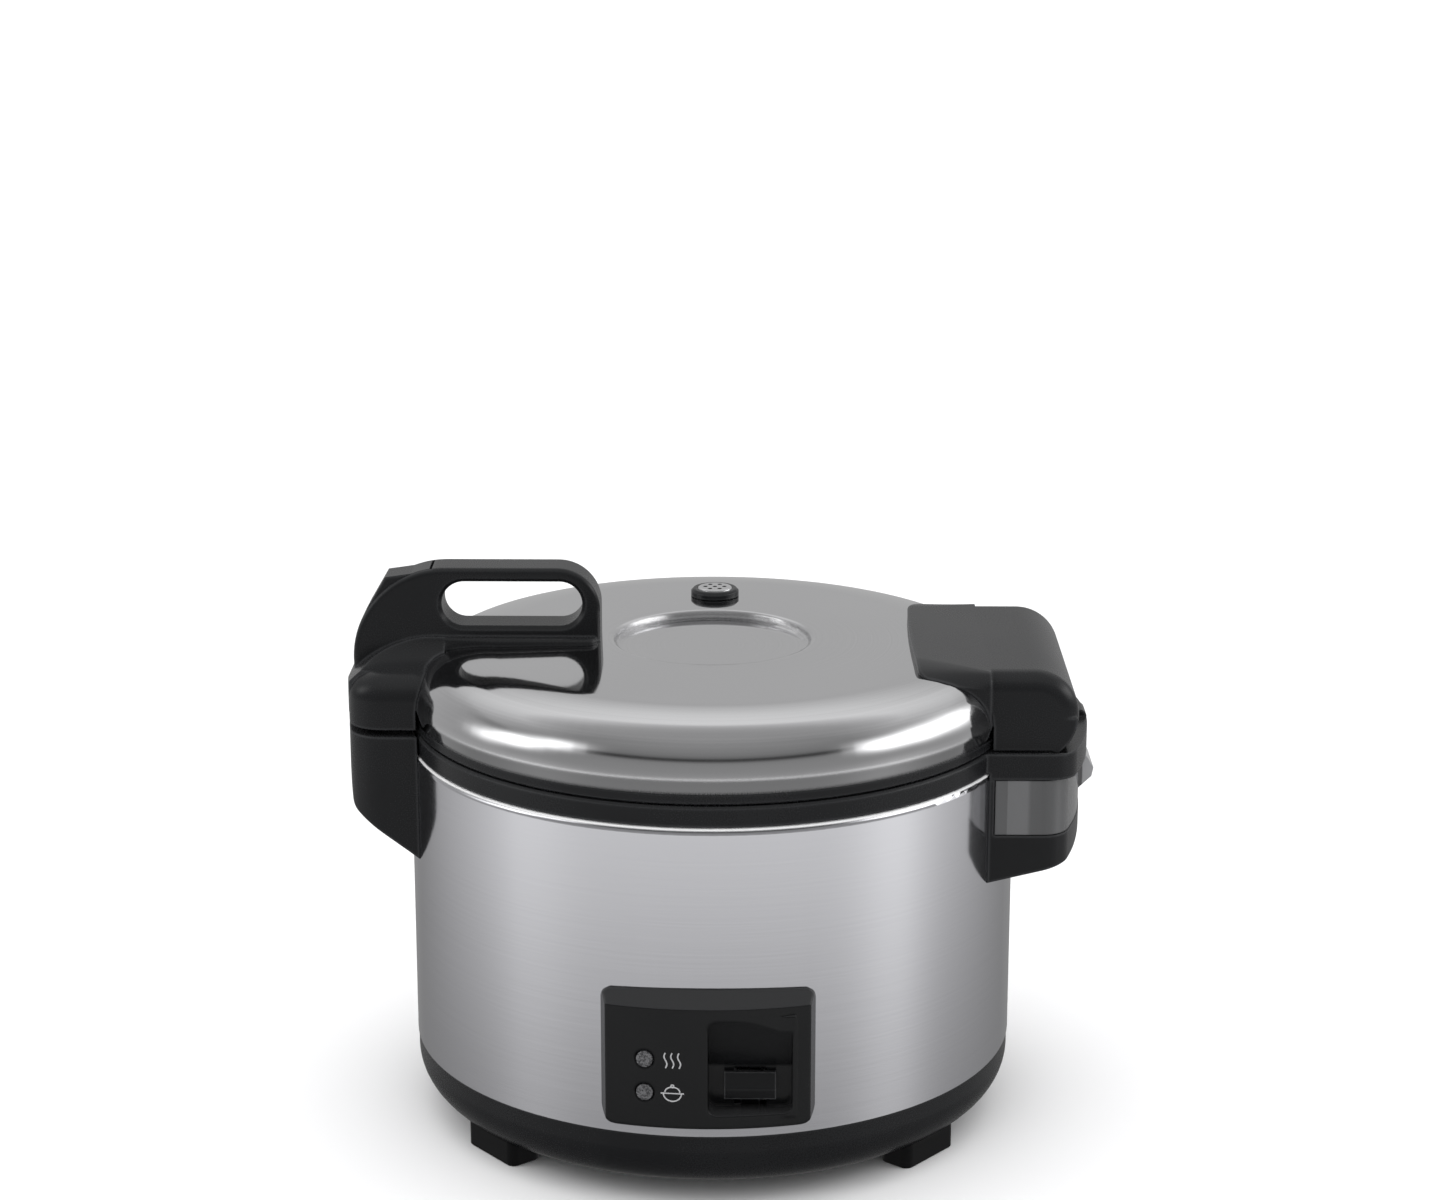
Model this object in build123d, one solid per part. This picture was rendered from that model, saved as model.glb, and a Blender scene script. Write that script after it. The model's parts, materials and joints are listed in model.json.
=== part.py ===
from build123d import *
import os
from math import cos, radians, sin, sqrt

# Rice cooker. Millimetres, +Z up, front panel towards -Y, lid hinge towards +X.
# The pieces are drawn about the pot's axis, on the plane the feet stand on.
# The finished part's origin is under the middle of its length, pot_axis_x from that axis.

pot_axis_x = -5.0

# Clearances
fit_gap = 0.3            # between pieces that drop into one another
run_gap = 0.05           # radial, shaft in a bearing
screw_gap = 0.15         # radial, screw in its hole

# Jacket and base
body_r = 170.0
shell_wall = 1.0
shell_height = 172.0
shell_edge_r = 4.0
shell_flange = 8.0
foot_height = 10.0
base_height = 33.5
base_inset = 0.5
base_round = 24.0
base_wall = 2.5
base_lip = 6.5
base_opening_r = 62.0
plate_lap = 18.0
plate_wall = 1.2
plate_slots = 12
foot_inset = 11.5        # outer face of a foot, in from the jacket
foot_length = 20.0
foot_width = 43.0
foot_angle = 39.6        # from the hinge line
foot_corner = 5.0
foot_edge = 0.8

# Top ring and hinge platform
ring_height = 11.0
ring_inset = 1.2
ring_edge = 1.2
seat_rise = 3.0          # pot rim seat above the ring's foot
platform_height = 14.5
platform_reach = 40.3    # beyond the jacket
platform_width = 156.0
platform_corner = 16.0
hinge_out = 5.0          # hinge line beyond the jacket
hinge_rise = 19.2        # hinge line above the ring
pin_r = 3.0
ear_wall = 3.0
ear_width = 12.0
ear_y = 36.0
barrel_r = 25.0
barrel_gap = 1.5
hinge_wall_height = 4.0
hinge_wall_width = 16.0
drain_r = 3.5

# Chamber, pot and heater
jacket_gap = 16.0
liner_wall = 1.0
liner_floor = 11.5       # above the foot of the jacket
pot_gap = 2.5
pot_wall = 2.5
pot_round = 26.0
pot_rim = 9.0
rim_gap = 1.5
band_wall = 1.8
band_rise = 45.0
band_height = 34.0
heater_r = 115.0
heater_height = 12.0
heater_hole_r = 17.0
element_r = 80.0
element_tube_r = 4.0
element_leg = 13.0
element_arc = 300.0

# Pot sensor and switch gear
sensor_r = 16.0
sensor_wall = 1.2
sensor_height = 9.0
plug_r = 6.0
plug_height = 4.7
guide_r = 26.0
guide_height = 3.0
guide_neck = 4.0
magnet_r = 6.5
magnet_height = 7.0
rod_r = 2.5
rod_length = 12.0
collar_r = 5.0
collar_height = 2.0
collar_lift = 0.8
spring_wire_r = 0.6
arm_drop = 15.0          # under the chamber floor
arm_height = 4.0
arm_width = 10.0
arm_front = 58.0         # pivot behind the lever's post
switch_pin_r = 2.0
cheek_wall = 2.0
cheek_gap = 4.0
cheek_length = 16.0

# Control panel
panel_width = 113.0
panel_lift = 7.6         # above the foot of the jacket
panel_height = 76.5
panel_reach = 8.0        # beyond the jacket
panel_slope = 9.0        # drop of the sloped top
panel_corner = 9.0
panel_top_corner = 5.0
panel_arch = 3.2         # fall of the top edge towards its corners
panel_side = 2.2         # slant of the sides
recess_x = 22.2
recess_width = 44.5
recess_rise = 7.7        # above the panel's foot
recess_height = 52.9
recess_step = 23.2       # upright part of the recess's back
recess_depth = 14.5
recess_lip = 1.0
recess_corner = 5.0
pocket_wall = 2.0
lever_width = 27.3
lever_rise = 6.7         # above the recess's floor
lever_height = 13.9
lever_length = 8.5
lever_nose = 6.0         # height of the front end
lever_round = 2.5
lever_stem = 14.0
post_wall = 4.0
post_gap = 3.5
lens_r = 4.5
lens_stand = 0.7
lens_groove = 0.7        # width of the groove round a lens
lens_groove_depth = 1.4
lens_x = -33.2
lens_rise = 20.1         # lower lens above the panel's foot
lens_pitch = 18.7
lamp_r = 2.6
lamp_length = 12.0

# Cord entry at the back
gland_rise = 22.5        # above the foot of the jacket
gland_bore_r = 4.2
gland_wall = 3.6
gland_flange = 3.4
gland_stand = 6.0
gland_inner = 5.0

# Left bracket and catch
latch_reach = 33.8
latch_width = 104.0
latch_corner = 20.0
latch_wall = 3.0
latch_drop = 53.5        # lowest point under the ring
latch_heel_drop = 31.5   # outer corner under the ring
latch_draft = 4.5
catch_drop = 10.9        # ledge under the bracket's top
catch_wall = 2.5
catch_depth = 5.3
catch_width = 24.0
catch_leg = 20.0
latch_screw_y = 28.0
latch_screw_drop = 15.5

# Right bracket and dew collector
hinge_bracket_height = 27.5
collector_room = 32.0    # from the bracket's shelf to the platform
hinge_bracket_slant = 14.0
hinge_bracket_round = 22.0
hinge_back_wall = 2.5
hinge_screw_y = (-50.0, -20.0, 20.0, 50.0)
hinge_screw_drop = 10.0
side_reach = 36.7        # collector and lower bracket beyond the jacket
collector_wall = 2.0
collector_gap = 0.5
tab_reach = 7.3
tab_width = 34.0
tab_height = 24.0

# Lid
lid_gap = 0.8
lid_rim_height = 5.9
lid_rim_inset = 1.7
lid_height = 37.4
lid_inset = 0.2          # lid in from the jacket
lid_edge_inset = 1.3
lid_wall = 1.0
shoulder_r = 25.3
shoulder_tilt = 14.7
blend_r = 112.0
crown_tilt = 1.3
dish_r = 57.3
dish_run = 6.4
dish_depth = 4.6
rim_upstand = 5.0
gasket_width = 7.5
gasket_gap = 0.3
inner_lid_wall = 1.2
inner_lid_lift = 1.7
inner_lid_holes = 8
knob_r = 12.0
knob_height = 4.0
knob_stem_r = 5.0

# Steam vent
vent_y = 91.0
vent_tube_r = 10.0
vent_tube_wall = 1.2
vent_ring_r = 14.0
vent_ring_height = 4.4
vent_cap_r = 10.2
vent_cap_wall = 1.6
vent_hole_r = 1.3

# Lid handle and release lever
handle_in = 107.5        # right end of the handle, in from the jacket
handle_corner = 24.0
handle_width = 25.0
handle_edge = 3.0
grip_in = 19.1           # finger opening, in from the jacket
grip_length = 78.5
grip_rise = 8.5          # above the lid
grip_wall = 7.7          # bar over the opening
grip_lip = 2.2
base_ridge_rise = 2.9    # above the lid
base_end_width = 40.0
base_inset_x = 1.5
base_nose = 6.0
boss_width = 100.0
boss_corner = 20.0
boss_gap = 3.6           # above the left bracket
boss_height = 29.9
boss_round = 14.0
boss_blend = 60.0        # hollow of the plan towards the boss
loop_rise = 10.9         # foot of the loop above the boss's foot
toe_rise = 19.9          # left end of the ridge above the boss's foot
ridge_edge = 2.5
track_in = 21.2          # centre of the lever's track, in from the jacket
track_drop = 10.4        # and under the lid's top
track_r = 52.0
track_depth = 8.1
lever_side = 10.0        # half width of the release lever
lever_seam = 99.5
lever_foot = 183.0
pad_rise = 3.6
pad_in = 12.0            # right end of the lever's pad, left of the track's centre
pad_foot = 42.0
pad_head = 49.0
pad_crest_in = 14.5
pad_crest = 45.5
pad_slope_in = 33.3
pad_slope = 42.8
pad_tip_in = 44.0
pad_tip = 28.1
pad_heel_in = 39.0
pad_heel = 24.0
stem_in = 10.0           # in from the boss's face
stem_wall = 6.0
hook_reach = 4.4
hook_height = 4.0
hook_gap = 0.5
hook_width = 14.0
spring_r = 3.6
spring_in = 14.0         # in from the stem's face
spring_seat = 4.0
spring_room = 18.9       # lever's arm above the boss's foot
handle_screw_in = (92.0, 42.0)

# Hinge cover on the lid
tongue_length = 62.0     # free end from the hinge line
cover_block_in = 24.5    # block's back from the hinge line
cover_low = 15.7         # block's foot under the hinge line
cover_end_angle = 8.0    # end of the barrel below the hinge line
cover_cheek_angle = 57.0
cover_width = 148.0
cover_end_gap = 1.0
cover_wall = 3.0
cover_cheek = 12.0
cover_bottom_gap = 0.9
cover_cheek_r = 23.5
cover_edge = 10.0
tongue_width = 161.0
tongue_top_width = 100.0  # flat of the tongue at its free end
tongue_neck = 156.0      # width at the barrel
tongue_neck_flat = 140.0  # and its flat there
tongue_rise = 3.2        # free end above the barrel
tongue_fall = 7.5        # height of the rounded sides
tongue_bulge = 2.2       # their swell
tongue_low = 5.7         # foot of the tongue under the hinge line
tongue_bow = 2.5
tongue_corner = 14.0
tongue_back_corner = 34.0
arm_knuckle = 12.0
knuckle_gap = 0.5
arm_screw_in = 18.0      # from the hinge line
arm_screw_y = 22.0

far = 600.0              # beyond every piece, for cuts

# Levels and radii that follow
base_z = foot_height
shell_z = base_z + base_height
ring_z = shell_z + shell_height
ring_top_z = ring_z + ring_height
lid_z = ring_top_z + lid_gap
lid_edge_z = lid_z + lid_rim_height
lid_top_z = lid_edge_z + lid_height
shell_in = body_r - shell_wall
base_r = body_r - base_inset
lip_r = shell_in - fit_gap
lip_in = lip_r - base_wall
base_turn_r = lip_in - (base_r - base_round)
base_floor_z = base_z + base_round - base_turn_r
foot_screw_r = body_r - foot_inset - foot_length / 2
foot_angles = {
    "foot_rear_right": foot_angle,
    "foot_rear_left": 180.0 - foot_angle,
    "foot_front_left": 180.0 + foot_angle,
    "foot_front_right": 360.0 - foot_angle,
}
ring_r = body_r - ring_inset
liner_floor_z = shell_z + liner_floor
liner_r = shell_in - jacket_gap
liner_in = liner_r - liner_wall
pot_r = liner_in - pot_gap
pot_in = pot_r - pot_wall
rim_r = pot_r + pot_rim
seat_z = ring_z + seat_rise
rim_top_z = seat_z + pot_wall
mouth_r = rim_r + rim_gap
band_z = liner_floor_z + band_rise
heater_top_z = liner_floor_z + liner_wall + heater_height
platform_z = ring_top_z - platform_height
platform_r = body_r + platform_reach
hinge_x = body_r + hinge_out
hinge_z = ring_top_z + hinge_rise
hinge_wall_top = ring_top_z + hinge_wall_height
panel_r = body_r + panel_reach
panel_z0 = shell_z + panel_lift
panel_z1 = panel_z0 + panel_height
recess_y = -(panel_r - recess_depth)
recess_z0 = panel_z0 + recess_rise
recess_z1 = recess_z0 + recess_height
recess_step_z = recess_z0 + recess_step
lever_z0 = recess_z0 + lever_rise
lens_z = (panel_z0 + lens_rise + lens_pitch, panel_z0 + lens_rise)
post_y = recess_y + pocket_wall + post_gap
pivot_y = post_y + arm_front
arm_z = liner_floor_z - arm_drop
gland_z = shell_z + gland_rise
latch_r = body_r + latch_reach
latch_z0 = ring_z - latch_drop
latch_heel_z = ring_z - latch_heel_drop
latch_screw_spots = [(side * latch_screw_y, ring_z - latch_screw_drop) for side in (-1, 1)]
catch_z = ring_top_z - catch_drop
side_r = body_r + side_reach
hinge_bracket_z1 = platform_z - collector_room
hinge_bracket_z0 = hinge_bracket_z1 - hinge_bracket_height
hinge_screw_spots = [(y, hinge_bracket_z1 - hinge_screw_drop) for y in hinge_screw_y]
collector_z0 = hinge_bracket_z1 + collector_gap
collector_z1 = platform_z - collector_gap
lid_r = body_r - lid_inset
gasket_r = rim_r - rim_gap
gasket_in = gasket_r - gasket_width
boss_z = ring_top_z + boss_gap
boss_top_z = boss_z + boss_height
handle_right_x = handle_in - body_r
handle_screw_spots = [(reach - body_r, 0.0) for reach in handle_screw_in]
grip_x0 = grip_in - body_r
grip_x1 = grip_x0 + grip_length
grip_z0 = lid_top_z + grip_rise
base_ridge_z = lid_top_z + base_ridge_rise
track_x = track_in - body_r
track_z = lid_top_z - track_drop
handle_top_z = track_z + track_r
grip_z1 = handle_top_z - grip_wall
stem_x = stem_in - latch_r
spring_x = stem_x + spring_in
spring_foot_z = boss_z + spring_room
cover_x = hinge_x - tongue_length
cover_block_x = hinge_x - cover_block_in
cover_z = ring_top_z + cover_bottom_gap
arm_screw_spots = [(hinge_x - arm_screw_in, side * arm_screw_y) for side in (-1, 1)]

low = (Align.CENTER, Align.CENTER, Align.MIN)


def outline(*points):
    return make_face(Polyline(*points, close=True))


def revolved(*edges):
    return revolve(Plane.XZ * make_face(edges), Axis.Z)


def prism_xy(face, z0, z1):
    return Pos(0, 0, z0) * extrude(face, z1 - z0)


def prism_xz(face, half):
    return extrude(Plane.XZ * face, half, both=True)


def prism_yz(face, x0, x1):
    return Pos(x0, 0, 0) * extrude(Plane.YZ * face, x1 - x0)


def block(x0, x1, y0, y1, z0, z1):
    return Pos((x0 + x1) / 2, (y0 + y1) / 2, z0) * Box(x1 - x0, y1 - y0, z1 - z0, align=low)


def rod(r, z0, z1, x=0.0, y=0.0):
    return Pos(x, y, z0) * Cylinder(r, z1 - z0, align=low)


def rod_x(r, x0, x1, y, z):
    return Pos(x0, y, z) * (Rot(0, 90, 0) * Cylinder(r, x1 - x0, align=low))


def rod_y(r, y0, y1, x, z):
    return Pos(x, y0, z) * (Rot(-90, 0, 0) * Cylinder(r, y1 - y0, align=low))


def tube(r_out, r_in, z0, z1):
    return rod(r_out, z0, z1) - rod(r_in, z0 - 1, z1 + 1)


def group(shapes):
    return Compound([solid for shape in shapes for solid in shape.solids()])


def turned(angle, shape):
    return Rot(0, 0, angle) * shape


def coil(radius, wire_r, height, turns, lead):
    path = Helix(height / turns, height, radius)
    section = Plane(origin=path @ 0, z_dir=path % 0) * Circle(wire_r)
    return Pos(0, 0, lead) * sweep(section, path=path, is_frenet=True)


def side_screw(sign, y, z):
    reach = sqrt(shell_in ** 2 - (abs(y) + 4.2) ** 2) - 0.2
    head = rod_x(4.0, reach - 3.0, reach, y, z)
    shank = rod_x(2.0, reach, reach + 18.0, y, z)
    return turned(0 if sign > 0 else 180, head + shank)


def side_hole(sign, y, z):
    hole = rod_x(2.0 + screw_gap, body_r - 20.0, body_r + 17.0, y, z)
    return turned(0 if sign > 0 else 180, hole)


def lens_frame(z):
    tilt = Vector(lens_x, -sqrt(panel_r ** 2 - lens_x ** 2), 0).normalized()
    return Plane(origin=(tilt.X * body_r, tilt.Y * body_r, z), z_dir=(tilt.X, tilt.Y, 0))


def outer_shell():
    turn = (body_r - shell_edge_r, ring_z - shell_edge_r)
    flange_r = body_r - shell_flange
    under = ring_z - shell_wall
    shell = revolved(
        Line((shell_in, shell_z), (body_r, shell_z)),
        Line((body_r, shell_z), (body_r, turn[1])),
        CenterArc(turn, shell_edge_r, 0, 90),
        Line((turn[0], ring_z), (flange_r, ring_z)),
        Line((flange_r, ring_z), (flange_r, under)),
        Line((flange_r, under), (turn[0], under)),
        CenterArc(turn, shell_edge_r - shell_wall, 0, 90),
        Line((shell_in, turn[1]), (shell_in, shell_z)),
    )
    half = recess_width / 2 + pocket_wall + fit_gap
    low_z = recess_z0 - pocket_wall - fit_gap
    top_z = recess_z1 + pocket_wall + fit_gap
    shell -= block(recess_x - half, recess_x + half, -body_r - 5, -body_r + 20, low_z, top_z)
    for z in lens_z:
        shell -= lens_frame(z) * Cylinder(lamp_r + 1.0, 20)
    shell -= rod_y(gland_bore_r + gland_wall + fit_gap, body_r - 20, body_r + 5, 0, gland_z)
    for y, z in latch_screw_spots:
        shell -= side_hole(-1, y, z)
    for y, z in hinge_screw_spots:
        shell -= side_hole(1, y, z)
    return shell


def base_envelope():
    turn = (base_r - base_round, base_z + base_round)
    return revolved(
        Line((0, base_z), (turn[0], base_z)),
        CenterArc(turn, base_round, -90, 90),
        Line((base_r, turn[1]), (base_r, shell_z)),
        Line((base_r, shell_z), (0, shell_z)),
        Line((0, shell_z), (0, base_z)),
    )


def plate_spots():
    return PolarLocations(base_opening_r + plate_lap / 2, 6)


def base_pan():
    turn = (base_r - base_round, base_z + base_round)
    lip_z = shell_z + base_lip
    pan = revolved(
        Line((base_opening_r, base_z), (turn[0], base_z)),
        CenterArc(turn, base_round, -90, 90),
        Line((base_r, turn[1]), (base_r, shell_z)),
        Line((base_r, shell_z), (lip_r, shell_z)),
        Line((lip_r, shell_z), (lip_r, lip_z)),
        Line((lip_r, lip_z), (lip_in, lip_z)),
        Line((lip_in, lip_z), (lip_in, turn[1])),
        CenterArc(turn, base_turn_r, -90, 90),
        Line((turn[0], base_floor_z), (base_opening_r, base_floor_z)),
        Line((base_opening_r, base_floor_z), (base_opening_r, base_z)),
    )
    for angle in foot_angles.values():
        pan += turned(angle, rod(5.0, base_floor_z, base_floor_z + 8, foot_screw_r))
        pan -= turned(angle, rod(2.0 + screw_gap, base_z - 1, base_floor_z + 9, foot_screw_r))
    pan += plate_spots() * rod(4.5, base_floor_z, base_floor_z + 5)
    pan -= plate_spots() * rod(1.5 + screw_gap, base_z - 1, base_floor_z + 6)
    return pan


def bottom_plate():
    plate = rod(base_opening_r + plate_lap, base_z - plate_wall, base_z)
    slot = Pos(0, 0, base_z - plate_wall / 2) * extrude(SlotOverall(28, 5), plate_wall, both=True)
    plate -= PolarLocations(38, plate_slots) * slot
    plate -= plate_spots() * rod(1.5 + screw_gap, base_z - 5, base_z + 5)
    return plate


def bottom_plate_screws():
    under = base_z - plate_wall
    screw = rod(3.2, under - 2.2, under) + rod(1.5, under, base_floor_z + 4)
    return group(plate_spots() * screw)


def foot(angle):
    body = extrude(RectangleRounded(foot_length, foot_width, foot_corner), base_z + 12)
    body = chamfer(body.faces().sort_by(Axis.Z)[0].edges(), foot_edge)
    body = turned(angle, Pos(foot_screw_r, 0, 0) * body) - base_envelope()
    bore = rod(2.0 + screw_gap, -1, base_z + 5, foot_screw_r) + rod(4.6, -1, 4.0, foot_screw_r)
    return body - turned(angle, bore)


def foot_screws():
    screw = rod(4.2, 1.0, 4.0, foot_screw_r) + rod(2.0, 4.0, base_floor_z + 7, foot_screw_r)
    return group([turned(angle, screw) for angle in foot_angles.values()])


def side_plan(reach, width, corner, grow=0.0):
    plan = Circle(reach - grow) & (Pos(reach / 2, 0) * Rectangle(reach, width - 2 * grow))
    outer = plan.vertices().filter_by(lambda v: v.X > body_r * 0.5 and abs(v.Y) > width * 0.3)
    return fillet(outer, corner - grow)


def top_ring():
    ring_in = liner_in + fit_gap
    ring = revolve(
        Plane.XZ
        * outline(
            (ring_in, ring_z),
            (ring_r, ring_z),
            (ring_r, ring_top_z - ring_edge),
            (ring_r - ring_edge, ring_top_z),
            (mouth_r + ring_edge, ring_top_z),
            (mouth_r, ring_top_z - ring_edge),
            (mouth_r, seat_z),
            (ring_in, seat_z),
        ),
        Axis.Z,
    )
    plan = side_plan(platform_r, platform_width, platform_corner)
    platform = prism_xy(plan, platform_z, ring_top_z) - rod(ring_r - 4, 0, far)
    platform -= rod(body_r, 0, ring_z)
    rise = hinge_wall_top - ring_top_z
    wall_side = outline(
        (hinge_x, ring_top_z - 1),
        (platform_r, ring_top_z - 1),
        (platform_r, ring_top_z + rise * 0.15),
        (platform_r - rise * 0.2, ring_top_z + rise * 0.6),
        (platform_r - rise * 0.6, ring_top_z + rise * 0.95),
        (platform_r - rise * 0.9, hinge_wall_top),
        (hinge_x, hinge_wall_top),
    )
    wall = prism_xy(plan, ring_top_z - 1, hinge_wall_top) & prism_xz(wall_side, hinge_wall_width / 2)
    platform += wall
    reach = cover_width / 2 + cover_end_gap
    pocket = rod_y(barrel_r + barrel_gap, -reach, reach, hinge_x, hinge_z)
    platform -= pocket - rod(ring_r, 0, far)
    platform -= rod(drain_r, platform_z - 1, ring_top_z, hinge_x + 12, 0)
    ring += platform
    ear_r = pin_r + ear_wall
    ear = make_face(
        [
            Line((hinge_x - ear_r, platform_z + 2), (hinge_x + ear_r, platform_z + 2)),
            Line((hinge_x + ear_r, platform_z + 2), (hinge_x + ear_r, hinge_z)),
            CenterArc((hinge_x, hinge_z), ear_r, 0, 180),
            Line((hinge_x - ear_r, hinge_z), (hinge_x - ear_r, platform_z + 2)),
        ]
    )
    for y in (-ear_y, ear_y):
        ring += Pos(0, y, 0) * prism_xz(ear, ear_width / 2)
    ring -= rod_y(pin_r, -platform_width / 2, platform_width / 2, hinge_x, hinge_z) & block(
        0, far, -ear_y - ear_width, ear_y + ear_width, hinge_z - 5, hinge_z + 5
    )
    return ring


def hinge_pin():
    end = ear_y + ear_width / 2 + 2.0
    return rod_y(pin_r, -end, end, hinge_x, hinge_z)


def hinge_spring():
    inner = ear_y - ear_width / 2 - knuckle_gap - arm_knuckle - 2.0
    body = coil(pin_r + 1.2, spring_wire_r, 2 * inner - 2, 9, -inner + 1)
    return Pos(hinge_x, 0, hinge_z) * (Rot(-90, 0, 0) * body)


def inner_liner():
    floor_top = liner_floor_z + liner_wall
    liner = tube(liner_r, liner_in, liner_floor_z, ring_z)
    liner += tube(body_r - shell_flange - 1.0, liner_in, ring_z - liner_wall, ring_z)
    liner += tube(liner_r, sensor_r + 4.0, liner_floor_z, floor_top)
    for leg in element_legs():
        liner -= rod(element_tube_r + 2.0, liner_floor_z - 1, floor_top + 1, *leg)
    return liner


def keep_warm_band():
    band = tube(liner_r + fit_gap + band_wall, liner_r + fit_gap, band_z, band_z + band_height)
    return band - block(-8, 8, 0, far, 0, far)


def element_legs():
    start = 90.0 + (360.0 - element_arc) / 2
    end = start + element_arc
    return [(element_r * cos(radians(a)), element_r * sin(radians(a))) for a in (start, end)]


def heating_element():
    mid_z = liner_floor_z + liner_wall + heater_height / 2
    section = Plane.XZ * (Pos(element_r, mid_z) * Circle(element_tube_r))
    coil_body = revolve(section, Axis.Z, element_arc)
    body = turned(90.0 + (360.0 - element_arc) / 2, coil_body)
    for leg in element_legs():
        body += rod(element_tube_r, mid_z - element_leg, mid_z, *leg)
        body += Pos(leg[0], leg[1], mid_z) * Sphere(element_tube_r)
    return body


def heater_plate():
    bottom = liner_floor_z + liner_wall
    plate = tube(heater_r, heater_hole_r, bottom, heater_top_z)
    return plate - heating_element()


def inner_pot():
    turn = (pot_r - pot_round, heater_top_z + pot_round)
    inner_turn = pot_round - pot_wall
    return revolved(
        Line((0, heater_top_z), (turn[0], heater_top_z)),
        CenterArc(turn, pot_round, -90, 90),
        Line((pot_r, turn[1]), (pot_r, seat_z)),
        Line((pot_r, seat_z), (rim_r, seat_z)),
        Line((rim_r, seat_z), (rim_r, rim_top_z)),
        Line((rim_r, rim_top_z), (pot_in, rim_top_z)),
        Line((pot_in, rim_top_z), (pot_in, turn[1])),
        CenterArc(turn, inner_turn, -90, 90),
        Line((turn[0], heater_top_z + pot_wall), (0, heater_top_z + pot_wall)),
        Line((0, heater_top_z + pot_wall), (0, heater_top_z)),
    )


def thermostat_body():
    body = rod(guide_r, liner_floor_z - guide_height, liner_floor_z)
    body += rod(magnet_r + 3.0, liner_floor_z, liner_floor_z + guide_neck)
    return body - rod(magnet_r + screw_gap, 0, far)


def sensor_cap():
    top = heater_top_z - fit_gap
    cap = rod(sensor_r, top - sensor_height, top)
    cap -= rod(sensor_r - sensor_wall, top - sensor_height - 1, top - sensor_wall - 0.3)
    return cap + rod(plug_r, top - sensor_wall - plug_height, top - sensor_wall)


def sensor_spring():
    foot_z = liner_floor_z + spring_wire_r + 0.1
    head_z = heater_top_z - fit_gap - sensor_wall - 0.3 - spring_wire_r - 0.1
    return coil(sensor_r - sensor_wall - 2.0, spring_wire_r, head_z - foot_z, 3, foot_z)


def magnet_rod():
    top = arm_z + arm_height / 2 + collar_lift
    body = rod(rod_r, top - rod_length, top)
    body += rod(collar_r, top, top + collar_height)
    return body + rod(magnet_r, top + collar_height, top + collar_height + magnet_height)


def arm_x(y):
    return recess_x * y / post_y


def switch_arm():
    half = arm_width / 2
    tail = 8.0
    front = post_y + post_wall
    plan = outline(
        (recess_x - half, post_y),
        (recess_x + half, post_y),
        (recess_x + half, front),
        (half + 3.0, -tail),
        (half + 3.0, tail),
        (-half - 3.0, tail),
        (-half - 3.0, -tail),
        (recess_x - half, front),
    )
    arm = prism_xy(plan, arm_z - arm_height / 2, arm_z + arm_height / 2)
    arm -= block(-rod_r - 0.6, rod_r + 0.6, -rod_r - 1.0, tail + 1, 0, 100)
    mid = arm_x(pivot_y)
    arm += rod_x(switch_pin_r + 2.5, mid - half, mid + half, pivot_y, arm_z)
    return arm - rod_x(switch_pin_r + run_gap, mid - 40, mid + 40, pivot_y, arm_z)


def switch_frame():
    mid = arm_x(pivot_y)
    inner = arm_width / 2 + cheek_gap
    outer = inner + cheek_wall
    y0 = pivot_y - cheek_length / 2
    y1 = pivot_y + cheek_length / 2
    frame = block(mid - outer, mid + outer, y0, y1, base_floor_z, base_floor_z + cheek_wall)
    for side in (-1, 1):
        x0, x1 = sorted((mid + side * inner, mid + side * outer))
        frame += block(x0, x1, y0, y1, base_floor_z, arm_z + 8.0)
    return frame - rod_x(switch_pin_r, mid - 40, mid + 40, pivot_y, arm_z)


def switch_pin():
    mid = arm_x(pivot_y)
    end = arm_width / 2 + cheek_gap + cheek_wall + 1.0
    return rod_x(switch_pin_r, mid - end, mid + end, pivot_y, arm_z)


def microswitch():
    y = pivot_y + 24
    mid = arm_x(y)
    body = block(mid - 5, mid + 5, y - 10, y + 10, base_floor_z, base_floor_z + 16)
    return body + rod(1.5, base_floor_z + 16, base_floor_z + 19, mid, y)


def terminal_block():
    y = body_r - 50
    body = block(-22, 22, y - 8, y + 8, base_floor_z, base_floor_z + 18)
    return body - GridLocations(10, 0, 4, 1) * rod(2.5, base_floor_z + 10, base_floor_z + 20, 0, y)


def panel_recess():
    front = -panel_r - 10
    opening = RectangleRounded(recess_width, recess_z1 - recess_z0, recess_corner)
    window = prism_xz(Pos(recess_x, (recess_z0 + recess_z1) / 2) * opening, far)
    ramp = outline(
        (front, recess_z0),
        (recess_y, recess_z0),
        (recess_y, recess_step_z),
        (-panel_r + recess_lip, recess_z1),
        (front, recess_z1),
    )
    return window & prism_yz(ramp, recess_x - recess_width, recess_x + recess_width)


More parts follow.
